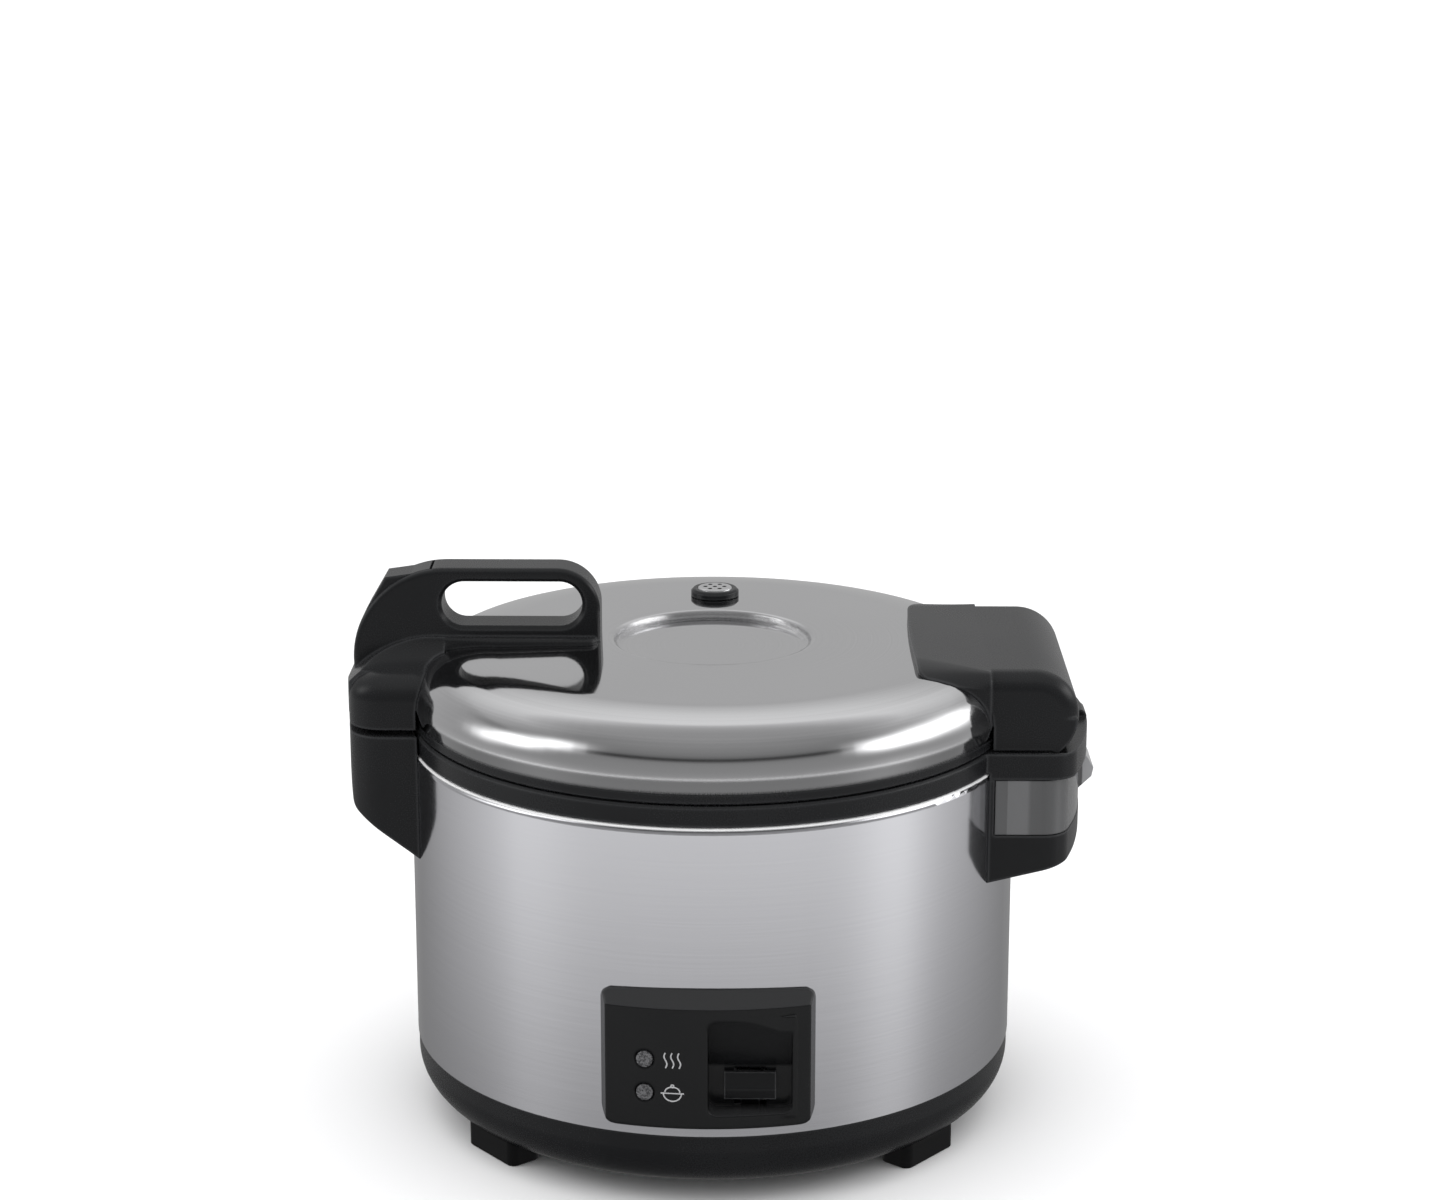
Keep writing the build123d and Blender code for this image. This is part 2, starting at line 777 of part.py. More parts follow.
def control_panel():
    body = revolve(
        Plane.XZ
        * outline(
            (body_r, panel_z0),
            (panel_r - 1.0, panel_z0),
            (panel_r, panel_z0 + 1.0),
            (panel_r, panel_z1 - panel_slope),
            (body_r, panel_z1),
        ),
        Axis.Z,
    )
    half = panel_width / 2
    mid_z = (panel_z0 + panel_z1) / 2
    face = Pos(0, mid_z) * Rectangle(panel_width, panel_z1 - panel_z0)
    face = fillet(face.vertices().group_by(Axis.Y)[0], panel_corner)
    arch_r = (half ** 2 + panel_arch ** 2) / (2 * panel_arch)
    face &= Pos(0, panel_z1 - arch_r) * Circle(arch_r)
    upper = face.vertices().filter_by(lambda v: abs(v.X) > half - 1 and v.Y > mid_z + panel_height / 3)
    face = fillet(upper, panel_top_corner)
    root_y = -sqrt(body_r ** 2 - half ** 2)
    sides = outline(
        (-half, root_y + 5),
        (-half, root_y - 1),
        (-half + panel_side, root_y - panel_reach),
        (-half + 3 * panel_side, -panel_r - 5),
        (half - 3 * panel_side, -panel_r - 5),
        (half - panel_side, root_y - panel_reach),
        (half, root_y - 1),
        (half, root_y + 5),
    )
    sides += Rectangle(2 * half - 20, 2 * panel_r + 10)
    body &= prism_xz(face, far) & prism_xy(sides, 0, far) & block(-half, half, -far, 0, 0, far)
    wide = recess_width / 2 + pocket_wall
    pocket = block(
        recess_x - wide,
        recess_x + wide,
        -body_r - panel_reach / 2,
        recess_y + pocket_wall,
        recess_z0 - pocket_wall,
        recess_z1 + pocket_wall,
    )
    body += pocket
    body -= panel_recess()
    slot = lever_stem / 2 + 1.5
    slot_z = lever_z0 + lever_height + 1
    body -= block(recess_x - slot, recess_x + slot, recess_y - 1, post_y + 18, recess_z0, slot_z)
    for z in lens_z:
        body -= lens_frame(z) * Cylinder(lens_r + run_gap, 60)
        groove = Cylinder(lens_r + lens_groove, 5, align=low)
        body -= lens_frame(z) * (Pos(0, 0, panel_reach - lens_groove_depth) * groove)
    return body


def lens(z):
    disc = extrude(Circle(lens_r), panel_reach + lens_stand - 1.0)
    disc = fillet(disc.faces().sort_by(Axis.Z)[-1].edges(), 0.6)
    return lens_frame(z) * (Pos(0, 0, 1.0) * disc)


def indicator_lamps():
    lamp = Pos(0, 0, 0.7 - lamp_length) * Cylinder(lamp_r, lamp_length, align=low)
    return group([lens_frame(z) * lamp for z in lens_z])


def cook_lever():
    back = recess_y - 1.0
    front = recess_y - lever_length
    top = lever_z0 + lever_height
    profile = outline(
        (back, lever_z0 + 3.0),
        (front + 1.5, lever_z0),
        (front, lever_z0 + lever_nose),
        (back - 2.5, top),
        (back, top),
    )
    profile = fillet(profile.vertices().group_by(Axis.X)[0], lever_round)
    tab = prism_yz(profile, recess_x - lever_width / 2, recess_x + lever_width / 2)
    stem = lever_stem / 2
    mid = lever_z0 + lever_height / 2
    tab += block(recess_x - stem, recess_x + stem, recess_y - 1.5, post_y + post_wall, mid - 3, mid + 3)
    post_z = arm_z + arm_height / 2
    wide = arm_width / 2
    tab += block(recess_x - wide, recess_x + wide, post_y, post_y + post_wall, post_z, mid + 3)
    return tab


def cord_gland():
    neck = gland_bore_r + gland_wall
    flange = rod_y(neck + gland_flange, body_r - 6, body_r + gland_stand, 0, gland_z) - rod(body_r, 0, far)
    inside = rod_y(neck + gland_flange, shell_in - gland_inner, body_r, 0, gland_z) & rod(shell_in, 0, far)
    body = flange + inside + rod_y(neck, shell_in - gland_inner, body_r + 2, 0, gland_z)
    return body - rod_y(gland_bore_r, body_r - 30, body_r + 20, 0, gland_z)


def latch_plan(grow=0.0):
    return turned(180, side_plan(latch_r, latch_width, latch_corner, grow))


def latch_form(grow):
    top = ring_top_z - grow
    heel = latch_r - latch_draft - grow
    slope = (latch_heel_z - latch_z0) / (heel - body_r)
    side = outline(
        (-latch_r + grow, top),
        (-heel, latch_heel_z + grow),
        (-body_r + 10, latch_z0 - slope * 10 + grow * 1.3),
        (-body_r + 10, top),
    )
    if grow == 0:
        corner = side.vertices().sort_by_distance((-heel, latch_heel_z))[0]
        side = fillet(corner, 8.0)
    return prism_xy(latch_plan(grow), 0, top) & prism_xz(side, far)


def latch_bracket():
    body = latch_form(0) - latch_form(latch_wall) - rod(body_r, 0, far)
    half = hook_width / 2 + 2.5
    inner = latch_r - latch_wall
    body -= block(-inner, stem_x + stem_wall + 7.0, -half, half, ring_top_z - 10, ring_top_z + 5)
    for y, z in latch_screw_spots:
        body += rod_x(4.5, -latch_r + 6, -body_r + 8, y, z) - rod(body_r, 0, far)
    for y, z in latch_screw_spots:
        body -= side_hole(-1, y, z)
    return body


def latch_catch():
    inner = latch_r - latch_wall - fit_gap
    half = catch_width / 2
    ledge = block(-inner - 3, -inner + catch_depth, -half, half, catch_z, catch_z + catch_wall)
    leg = block(-inner - 3, -inner + 1.6, -half, half, catch_z - catch_leg, catch_z + 1)
    inside = latch_form(latch_wall + 0.02)
    return (ledge + leg) & inside


def hinge_plan(grow=0.0):
    return side_plan(side_r, platform_width, platform_corner, grow)


def hinge_bracket():
    outer_x = side_r + 1
    low_x = body_r - 30
    side = outline(
        (low_x, hinge_bracket_z0),
        (body_r - 20, hinge_bracket_z0),
        (outer_x, hinge_bracket_z0 + hinge_bracket_slant),
        (outer_x, hinge_bracket_z1),
        (low_x, hinge_bracket_z1),
    )
    corner = side.vertices().sort_by_distance((outer_x, hinge_bracket_z0 + hinge_bracket_slant))[0]
    side = fillet(corner, hinge_bracket_round * 0.5)
    shelf = prism_xy(hinge_plan(), 0, hinge_bracket_z1) & prism_xz(side, far)
    wall = prism_xy(hinge_plan(), hinge_bracket_z1 - 1, platform_z) & rod(body_r + hinge_back_wall, 0, far)
    wall &= block(0, far, -platform_width / 2, platform_width / 2, 0, far)
    body = shelf + wall - rod(body_r, 0, far)
    for y, z in hinge_screw_spots:
        body -= side_hole(1, y, z)
    return body


def dew_collector():
    inner_r = body_r + hinge_back_wall + collector_gap
    height_z = collector_z1
    form = prism_xy(hinge_plan(0.3), collector_z0, height_z) - rod(inner_r, 0, far)
    form &= block(body_r - 20, far, -far, far, 0, far)
    room = prism_xy(hinge_plan(0.3 + collector_wall), collector_z0 + collector_wall, height_z + 5)
    room -= rod(inner_r + collector_wall, 0, far)
    room &= block(body_r - 12, far, -far, far, 0, far)
    cup = form - room
    tab = outline(
        (side_r - 1.0, collector_z1),
        (side_r, collector_z1),
        (side_r + tab_reach, collector_z1 - tab_height / 2),
        (side_r + tab_reach - 1.0, collector_z1 - tab_height / 2 - 5.0),
        (side_r - 1.0, collector_z1 - tab_height),
    )
    return cup + prism_xz(tab, tab_width / 2)


def dome_centres():
    t2 = radians(shoulder_tilt)
    t1 = radians(crown_tilt)
    c2r = lid_r - shoulder_r
    p2r = c2r + shoulder_r * sin(t2)
    c1r = p2r - blend_r * sin(t2)
    crown_r = (c1r + blend_r * sin(t1)) / sin(t1)
    crown_z = lid_top_z - crown_r
    c1z = crown_z + crown_r * cos(t1) - blend_r * cos(t1)
    c2z = c1z + blend_r * cos(t2) - shoulder_r * cos(t2)
    return (c2r, c2z), (c1r, c1z), crown_z, crown_r


def dome_height(radius):
    c2, c1, crown_z, crown_r = dome_centres()
    if radius > c2[0] + shoulder_r * sin(radians(shoulder_tilt)):
        return c2[1] + sqrt(shoulder_r ** 2 - (radius - c2[0]) ** 2)
    if radius > c1[0] + blend_r * sin(radians(crown_tilt)):
        return c1[1] + sqrt(blend_r ** 2 - (radius - c1[0]) ** 2)
    return crown_z + sqrt(crown_r ** 2 - radius ** 2)


def dome_edges(inset):
    c2, c1, crown_z, crown_r = dome_centres()
    curve = crown_r - inset
    edge_z = crown_z + sqrt(curve ** 2 - dish_r ** 2)
    turn_r = (dish_run ** 2 + dish_depth ** 2) / (4 * dish_depth)
    sweep_angle = 2 * degrees_of(dish_depth, dish_run)
    outer_turn = (dish_r, edge_z - turn_r)
    inner_turn = (dish_r - dish_run, edge_z - dish_depth + turn_r)
    start = crown_angle(dish_r, curve)
    return [
        CenterArc(c2, shoulder_r - inset, 0, 90 - shoulder_tilt),
        CenterArc(c1, blend_r - inset, 90 - shoulder_tilt, shoulder_tilt - crown_tilt),
        CenterArc((0, crown_z), curve, 90 - crown_tilt, crown_tilt - start),
        CenterArc(outer_turn, turn_r, 90, sweep_angle),
        CenterArc(inner_turn, turn_r, -90, sweep_angle),
        Line((dish_r - dish_run, edge_z - dish_depth), (0, edge_z - dish_depth)),
    ]


def degrees_of(rise, run):
    return Vector(1, 0, 0).get_angle(Vector(run, rise, 0))


def crown_angle(radius, curve):
    return Vector(0, 1, 0).get_angle(Vector(radius, sqrt(curve ** 2 - radius ** 2), 0))


def dome_solid(inset):
    c2 = dome_centres()[0]
    edge = (lid_r - lid_edge_inset - inset, lid_edge_z)
    edges = dome_edges(inset)
    floor_z = (edges[-1] @ 1).Y
    return revolved(
        Line(edge, (c2[0] + shoulder_r - inset, c2[1])),
        *edges,
        Line((0, floor_z), (0, lid_edge_z)),
        Line((0, lid_edge_z), edge),
    )


def lid_envelope():
    skirt = rod(lid_r + fit_gap, ring_top_z - 20, dome_centres()[0][1])
    return dome_solid(0) + skirt + rod(dish_r, lid_edge_z, lid_top_z - 0.2)


def lid_shell():
    shell = dome_solid(0) - dome_solid(lid_wall)
    shell -= rod(vent_tube_r, lid_edge_z, far, 0, vent_y)
    for spot in handle_screw_spots:
        shell -= rod(2.0 + screw_gap, lid_edge_z, far, *spot)
    for spot in arm_screw_spots:
        shell -= rod(2.0 + screw_gap, lid_edge_z, far, *spot)
    return shell


def lid_rim():
    outer = lid_r - lid_rim_inset
    edge_in = lid_r - lid_edge_inset - lid_wall - fit_gap
    return revolve(
        Plane.XZ
        * outline(
            (gasket_in, lid_z),
            (outer - 1.0, lid_z),
            (outer, lid_z + 1.0),
            (outer, lid_edge_z),
            (edge_in, lid_edge_z),
            (edge_in, lid_edge_z + rim_upstand),
            (edge_in - 3.0, lid_edge_z + rim_upstand),
            (edge_in - 3.0, lid_edge_z),
            (gasket_in, lid_edge_z),
        ),
        Axis.Z,
    )


def lid_liner():
    edge_in = lid_r - lid_edge_inset - lid_wall - fit_gap - 3.0
    plate = rod(edge_in - fit_gap, lid_edge_z, lid_edge_z + inner_lid_wall)
    return plate - rod(vent_tube_r, 0, far, 0, vent_y)


def lid_gasket():
    return tube(gasket_r, gasket_in, rim_top_z + gasket_gap, lid_z)


def inner_lid():
    z0 = rim_top_z + gasket_gap + inner_lid_lift
    disc = rod(gasket_in, z0, z0 + inner_lid_wall)
    disc -= PolarLocations(60, inner_lid_holes) * rod(3.0, z0 - 1, z0 + 3)
    return disc - rod(knob_stem_r, 0, far)


def inner_lid_knob():
    z0 = rim_top_z + gasket_gap + inner_lid_lift
    return rod(knob_r, z0 - knob_height, z0) + rod(knob_stem_r, z0, lid_edge_z)


def vent_tube():
    top = dome_height(vent_y) - lid_wall - 1.0
    bottom = lid_edge_z - 4.0
    sleeve = rod(vent_tube_r, bottom, top, 0, vent_y)
    return sleeve - rod(vent_tube_r - vent_tube_wall, 0, far, 0, vent_y)


def vent_body():
    seat = dome_height(vent_y) + fit_gap
    plug_out = vent_tube_r - vent_tube_wall - fit_gap
    ring = rod(vent_ring_r, seat, seat + vent_ring_height, 0, vent_y)
    ring = chamfer(ring.edges().filter_by(GeomType.CIRCLE).group_by(Axis.Z)[-1], 1.5)
    ring -= dome_solid(-fit_gap)
    body = ring + rod(plug_out, seat - 22, seat + 1, 0, vent_y)
    body -= rod(vent_cap_r, seat + vent_ring_height - 2.5, far, 0, vent_y)
    return body - rod(plug_out - 1.5, 0, far, 0, vent_y)


def vent_cap():
    z0 = dome_height(vent_y) + fit_gap + vent_ring_height - 2.5
    cap = rod(vent_cap_r, z0, z0 + vent_cap_wall + 1.6, 0, vent_y)
    cap = fillet(cap.edges().filter_by(GeomType.CIRCLE).group_by(Axis.Z)[-1], 1.4)
    holes = PolarLocations(5.6, 6) * rod(vent_hole_r, 0, far)
    cap -= [Pos(0, vent_y, 0) * hole for hole in holes]
    return cap - rod(vent_hole_r, 0, far, 0, vent_y)


def handle_loop():
    corner = (handle_right_x - handle_corner, handle_top_z - handle_corner)
    foot_z = boss_z + loop_rise
    end_x = track_x - track_r
    face = make_face(
        [
            Line((handle_right_x, foot_z), (handle_right_x, corner[1])),
            CenterArc(corner, handle_corner, 0, 90),
            Line((corner[0], handle_top_z), (track_x, handle_top_z)),
            CenterArc((track_x, track_z), track_r, 90, 90),
            Line((end_x, track_z), (end_x, foot_z)),
            Line((end_x, foot_z), (handle_right_x, foot_z)),
        ]
    )
    grip = SlotOverall(grip_x1 - grip_x0, grip_z1 - grip_z0)
    grip = Pos((grip_x0 + grip_x1) / 2, (grip_z0 + grip_z1) / 2) * grip
    loop = prism_xz(face - grip, handle_width / 2)
    for side in (0, -1):
        plate = loop.faces().sort_by(Axis.Y)[side]
        loop = chamfer(plate.inner_wires()[0].edges(), grip_lip)
        plate = loop.faces().sort_by(Axis.Y)[side]
        rim = plate.outer_wire().edges().filter_by(lambda e: e.center().Z > foot_z + 1)
        loop = fillet(rim, handle_edge)
    return loop


def handle_plan(wide, narrow):
    right = handle_right_x - base_inset_x
    waist_x = track_x + 30.8
    boss_x = track_x - 11.2
    plan = outline(
        (right, -narrow),
        (right, narrow),
        (waist_x, narrow),
        (boss_x, wide),
        (-latch_r - 5, wide),
        (-latch_r - 5, -wide),
        (boss_x, -wide),
        (waist_x, -narrow),
    )
    plan = fillet(plan.vertices().filter_by(lambda v: abs(v.X - waist_x) < 1), boss_blend)
    return fillet(plan.vertices().filter_by(lambda v: abs(v.X - right) < 1), base_nose)


def ridge_side():
    right = handle_right_x - base_inset_x
    crest = (track_x - 35.2, base_ridge_z - 7.0)
    toe = (-latch_r, boss_z + toe_rise)
    return make_face(
        [
            Line((right, boss_z), (right, base_ridge_z)),
            Line((right, base_ridge_z), (track_x, base_ridge_z)),
            ThreePointArc((track_x, base_ridge_z), crest, toe),
            Line(toe, (-latch_r, boss_z)),
            Line((-latch_r, boss_z), (right, boss_z)),
        ]
    )


def boss_flare(ridge):
    shoulder = boss_width / 2 - boss_round
    edges = [Line((shoulder, boss_z), (shoulder, boss_top_z))]
    edges.append(TangentArc((shoulder, boss_top_z), (ridge, base_ridge_z), tangent=(-1, 0)))
    edges += [mirror(edge, Plane.YZ) for edge in edges]
    edges.append(Line((-shoulder, boss_z), (shoulder, boss_z)))
    edges.append(Line((-ridge, base_ridge_z), (ridge, base_ridge_z)))
    return prism_yz(make_face(edges), -far, 0)


def handle_base():
    ridge = handle_width / 2 + ridge_edge
    top_z = base_ridge_z + 20
    side = prism_xz(ridge_side(), far)
    plan = handle_plan(boss_width / 2, base_end_width / 2 + 5) & Circle(latch_r)
    plan &= Pos(track_x - far, 0) * Rectangle(2 * far, 2 * far)
    plan = fillet(plan.vertices().filter_by(lambda v: v.X < -body_r - 15), boss_corner)
    boss = prism_xy(plan, boss_z, boss_top_z)
    rim = boss.faces().sort_by(Axis.Z)[-1].edges()
    boss = fillet(rim.filter_by(lambda e: e.center().X < track_x - 1), boss_round)
    flare = prism_xy(plan, boss_z, top_z) & boss_flare(ridge)
    rib = prism_xy(handle_plan(ridge, base_end_width / 2), boss_z, top_z) & side
    crest = rib.edges().filter_by(lambda e: e.center().Z > boss_top_z)
    crest = crest.filter_by(lambda e: abs(e.center().X - track_x) > 0.5)
    return ((boss + flare) & side) + fillet(crest, ridge_edge)


def track_face(r_in, r_out, start, end):
    def at(r, a):
        return (track_x + r * cos(radians(a)), track_z + r * sin(radians(a)))

    mid = (start + end) / 2
    return make_face(
        [
            ThreePointArc(at(r_out, start), at(r_out, mid), at(r_out, end)),
            Line(at(r_out, end), at(r_in, end)),
            ThreePointArc(at(r_in, end), at(r_in, mid), at(r_in, start)),
            Line(at(r_in, start), at(r_out, start)),
        ]
    )


def lid_handle():
    body = handle_loop() + handle_base()
    body -= lid_envelope()
    gap = fit_gap
    half = lever_side + gap
    body -= prism_xz(track_face(track_r - track_depth - gap, track_r + 30, 97.8, 180), half)
    inner = -latch_r + latch_wall
    well = block(inner, spring_x + 8.0, -half, half, boss_z - 5, track_z + 0.01)
    shelf = block(spring_x - 4.6, spring_x + 9.0, -half - 1, half + 1, boss_z, boss_z + spring_seat)
    body -= well - shelf
    for spot in handle_screw_spots:
        body -= rod(2.0 + screw_gap, ring_z, dome_height(abs(spot[0])) + 7, *spot)
    return body


def handle_screws():
    screws = []
    for spot in handle_screw_spots:
        under = dome_height(abs(spot[0])) - lid_wall - 0.4
        screws.append(rod(4.2, under - 3, under, *spot) + rod(2.0, under, under + 7.5, *spot))
    return group(screws)


def latch_lever():
    band = track_face(track_r - track_depth, track_r, lever_seam, lever_foot)
    pad = outline(
        (track_x - pad_in, track_z + pad_foot),
        (track_x - pad_in, track_z + pad_head),
        (track_x - pad_crest_in, track_z + pad_crest + pad_rise),
        (track_x - pad_slope_in, track_z + pad_slope + pad_rise),
        (track_x - pad_tip_in, track_z + pad_tip),
        (track_x - pad_heel_in, track_z + pad_heel),
    )
    core = rod_y(track_r - track_depth, -50, 50, track_x, track_z)
    body = prism_xz(band, lever_side) + (prism_xz(pad, lever_side) - core)
    hook_top = catch_z - hook_gap
    hook_z = hook_top - hook_height
    half = hook_width / 2
    body += block(stem_x, stem_x + stem_wall, -half, half, hook_z, track_z)
    body += block(stem_x - hook_reach, stem_x + 1, -half, half, hook_z, hook_top)
    body += block(stem_x + 1, spring_x + 5.0, -5, 5, spring_foot_z, spring_foot_z + 3.0)
    return body


def latch_spring():
    wire = 0.5
    foot_z = boss_z + spring_seat + wire + 0.1
    head_z = spring_foot_z - wire - 0.1
    return Pos(spring_x, 0, 0) * coil(spring_r, wire, head_z - foot_z, 5, foot_z)


def barrel_point(r, angle):
    return (hinge_x + r * cos(radians(angle)), hinge_z - r * sin(radians(angle)))


def cover_block(inset):
    r = barrel_r - inset
    top_z = hinge_z + r
    low_z = hinge_z - cover_low
    end = barrel_point(r, cover_end_angle)
    section = make_face(
        [
            Line((cover_block_x + inset, low_z), (cover_block_x + inset, top_z)),
            Line((cover_block_x + inset, top_z), (hinge_x, top_z)),
            CenterArc((hinge_x, hinge_z), r, 90, -90 - cover_end_angle),
            Line(end, (hinge_x, low_z)),
            Line((hinge_x, low_z), (cover_block_x + inset, low_z)),
        ]
    )
    body = prism_xz(section, cover_width / 2 - inset)
    for side in (0, -1):
        rim = body.faces().sort_by(Axis.Y)[side].edges()
        rim = rim.filter_by(lambda e: e.center().Z > hinge_z - 1 and e.center().X > cover_block_x + 6)
        body = fillet(rim, cover_edge - inset * 0.8)
    return body


def tongue_section(x, flat, width, top_z):
    low_z = hinge_z - tongue_low
    side_z = top_z - tongue_fall
    bulge_y = (flat + width) / 4
    bulge_z = top_z - tongue_fall / 2 + tongue_bulge
    section = make_face(
        [
            Line((-width / 2, low_z), (width / 2, low_z)),
            Line((width / 2, low_z), (width / 2, side_z)),
            ThreePointArc((width / 2, side_z), (bulge_y, bulge_z), (flat / 2, top_z)),
            Line((flat / 2, top_z), (-flat / 2, top_z)),
            ThreePointArc((-flat / 2, top_z), (-bulge_y, bulge_z), (-width / 2, side_z)),
            Line((-width / 2, side_z), (-width / 2, low_z)),
        ]
    )
    return Plane.YZ.offset(x) * section


def cover_tongue():
    half = tongue_width / 2
    neck = tongue_neck / 2
    neck_x = cover_block_x + 1
    free_x = cover_x - tongue_bow
    top_z = hinge_z + barrel_r
    plan = make_face(
        [
            ThreePointArc((cover_x, -half), (free_x, 0), (cover_x, half)),
            Line((cover_x, half), (neck_x, neck)),
            Line((neck_x, neck), (neck_x, -neck)),
            Line((neck_x, -neck), (cover_x, -half)),
        ]
    )
    ends = plan.vertices().filter_by(lambda v: v.X < cover_x + 1).sort_by(Axis.Y)
    plan = fillet(ends[0], tongue_corner)
    ends = plan.vertices().filter_by(lambda v: v.X < cover_x + 1).sort_by(Axis.Y)
    flare = half - neck
    side = sqrt((neck_x - cover_x) ** 2 + flare ** 2)
    back_fit = 0.95 * side * sqrt((side - flare) / (side + flare))
    plan = fillet(ends[-1], min(tongue_back_corner, back_fit))
    sections = [
        tongue_section(free_x, tongue_top_width, tongue_width, top_z + tongue_rise),
        tongue_section(neck_x, tongue_neck_flat, tongue_neck, top_z),
    ]
    return loft(sections, ruled=True) & prism_xy(plan, ring_z, far)


def cover_cheeks():
    half = cover_width / 2
    cheek = make_face(
        [
            Line((cover_block_x, cover_z), (cover_block_x, hinge_z)),
            Line((cover_block_x, hinge_z), (hinge_x + cover_cheek_r, hinge_z)),
            CenterArc((hinge_x, hinge_z), cover_cheek_r, 0, -cover_cheek_angle),
            Line(barrel_point(cover_cheek_r, cover_cheek_angle), (hinge_x + 10, cover_z)),
            Line((hinge_x + 10, cover_z), (cover_block_x, cover_z)),
        ]
    )
    plates = prism_xz(cheek, half)
    return plates - block(0, far, -half + cover_cheek, half - cover_cheek, 0, far)


def hinge_cover():
    body = cover_tongue() + (cover_block(0) - cover_block(cover_wall)) + cover_cheeks()
    body -= lid_envelope()
    ear = ear_width / 2 + knuckle_gap
    for y in (-ear_y, ear_y):
        body -= block(hinge_x - 14, hinge_x + 40, y - ear, y + ear, ring_z, hinge_z + pin_r + ear_wall + 2)
    return body


def hinge_arm():
    knuckle_r = pin_r + ear_wall
    outer = ear_y - ear_width / 2 - knuckle_gap
    web_top = hinge_z + barrel_r - cover_wall - fit_gap
    web = outline(
        (hinge_x - 3, hinge_z + 2),
        (hinge_x + 4, hinge_z + 4),
        (hinge_x - 4, web_top - 3.0),
        (hinge_x - 8, web_top),
        (cover_block_x + cover_wall + 1, web_top),
        (cover_block_x + cover_wall + 1, web_top - 14),
    )
    body = prism_xz(web, outer)
    barrel = rod_y(knuckle_r, -outer, outer, hinge_x, hinge_z)
    inner = outer - arm_knuckle
    body += barrel
    body -= block(hinge_x - 9, hinge_x + 40, -inner, inner, 0, hinge_z + 16)
    body -= lid_envelope()
    body -= rod_y(pin_r + run_gap, -100, 100, hinge_x, hinge_z)
    for spot in arm_screw_spots:
        body -= rod(2.0 + screw_gap, ring_z, far, *spot)
    return body


def hinge_arm_screws():
    screws = []
    for x, y in arm_screw_spots:
        reach = sqrt(x * x + y * y)
        under = dome_height(reach + 4.5) - 2.2
        top = hinge_z + barrel_r - cover_wall - 1.0
        screws.append(rod(4.0, under - 3, under, x, y) + rod(2.0, under, top, x, y))
    return group(screws)


def side_screws(sign, spots):
    return group([side_screw(sign, y, z) for y, z in spots])


def build():
    parts = {
        "outer_shell": outer_shell(),
        "base_pan": base_pan(),
        "bottom_plate": bottom_plate(),
        "bottom_plate_screws": bottom_plate_screws(),
        "foot_screws": foot_screws(),
        "top_ring": top_ring(),
        "hinge_pin": hinge_pin(),
        "hinge_spring": hinge_spring(),
        "inner_liner": inner_liner(),
        "keep_warm_band": keep_warm_band(),
        "heating_element": heating_element(),
        "heater_plate": heater_plate(),
        "inner_pot": inner_pot(),
        "thermostat_body": thermostat_body(),
        "sensor_cap": sensor_cap(),
        "sensor_spring": sensor_spring(),
        "magnet_rod": magnet_rod(),
        "switch_arm": switch_arm(),
        "switch_frame": switch_frame(),
        "switch_pin": switch_pin(),
        "microswitch": microswitch(),
        "terminal_block": terminal_block(),
        "control_panel": control_panel(),
        "keep_warm_lens": lens(lens_z[0]),
        "cook_lens": lens(lens_z[1]),
        "indicator_lamps": indicator_lamps(),
        "cook_lever": cook_lever(),
        "cord_gland": cord_gland(),
        "latch_bracket": latch_bracket(),
        "latch_catch": latch_catch(),
        "latch_bracket_screws": side_screws(-1, latch_screw_spots),
        "hinge_bracket": hinge_bracket(),
        "hinge_bracket_screws": side_screws(1, hinge_screw_spots),
        "dew_collector": dew_collector(),
        "lid_shell": lid_shell(),
        "lid_rim": lid_rim(),
        "lid_liner": lid_liner(),
        "lid_gasket": lid_gasket(),
        "inner_lid": inner_lid(),
        "inner_lid_knob": inner_lid_knob(),
        "vent_tube": vent_tube(),
        "vent_body": vent_body(),
        "vent_cap": vent_cap(),
        "lid_handle": lid_handle(),
        "handle_screws": handle_screws(),
        "latch_lever": latch_lever(),
        "latch_spring": latch_spring(),
        "hinge_cover": hinge_cover(),
        "hinge_arm": hinge_arm(),
        "hinge_arm_screws": hinge_arm_screws(),
    }
    for name, angle in foot_angles.items():
        parts[name] = foot(angle)
    return parts


os.makedirs("parts", exist_ok=True)
for node, shape in build().items():
    export_step(Pos(pot_axis_x, 0, 0) * shape, "parts/" + node + ".step")
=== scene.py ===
import bmesh
import bpy
import json
import math
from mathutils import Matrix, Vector


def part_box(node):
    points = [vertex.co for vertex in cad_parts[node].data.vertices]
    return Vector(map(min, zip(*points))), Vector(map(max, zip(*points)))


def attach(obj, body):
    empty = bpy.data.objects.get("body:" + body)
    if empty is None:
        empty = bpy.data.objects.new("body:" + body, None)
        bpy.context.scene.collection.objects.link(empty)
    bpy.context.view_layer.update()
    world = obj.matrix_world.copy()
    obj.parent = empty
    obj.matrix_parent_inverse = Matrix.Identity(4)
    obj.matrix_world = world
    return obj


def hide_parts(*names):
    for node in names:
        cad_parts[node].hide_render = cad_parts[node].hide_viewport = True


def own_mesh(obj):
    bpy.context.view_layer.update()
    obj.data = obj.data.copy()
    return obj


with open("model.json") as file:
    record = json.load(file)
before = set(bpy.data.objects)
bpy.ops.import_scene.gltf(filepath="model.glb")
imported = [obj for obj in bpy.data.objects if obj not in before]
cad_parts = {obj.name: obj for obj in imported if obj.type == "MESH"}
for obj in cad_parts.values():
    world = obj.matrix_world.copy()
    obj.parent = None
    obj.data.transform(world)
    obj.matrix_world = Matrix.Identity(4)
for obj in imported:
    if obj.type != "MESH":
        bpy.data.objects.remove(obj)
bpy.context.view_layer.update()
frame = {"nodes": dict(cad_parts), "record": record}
nodes = frame["nodes"]
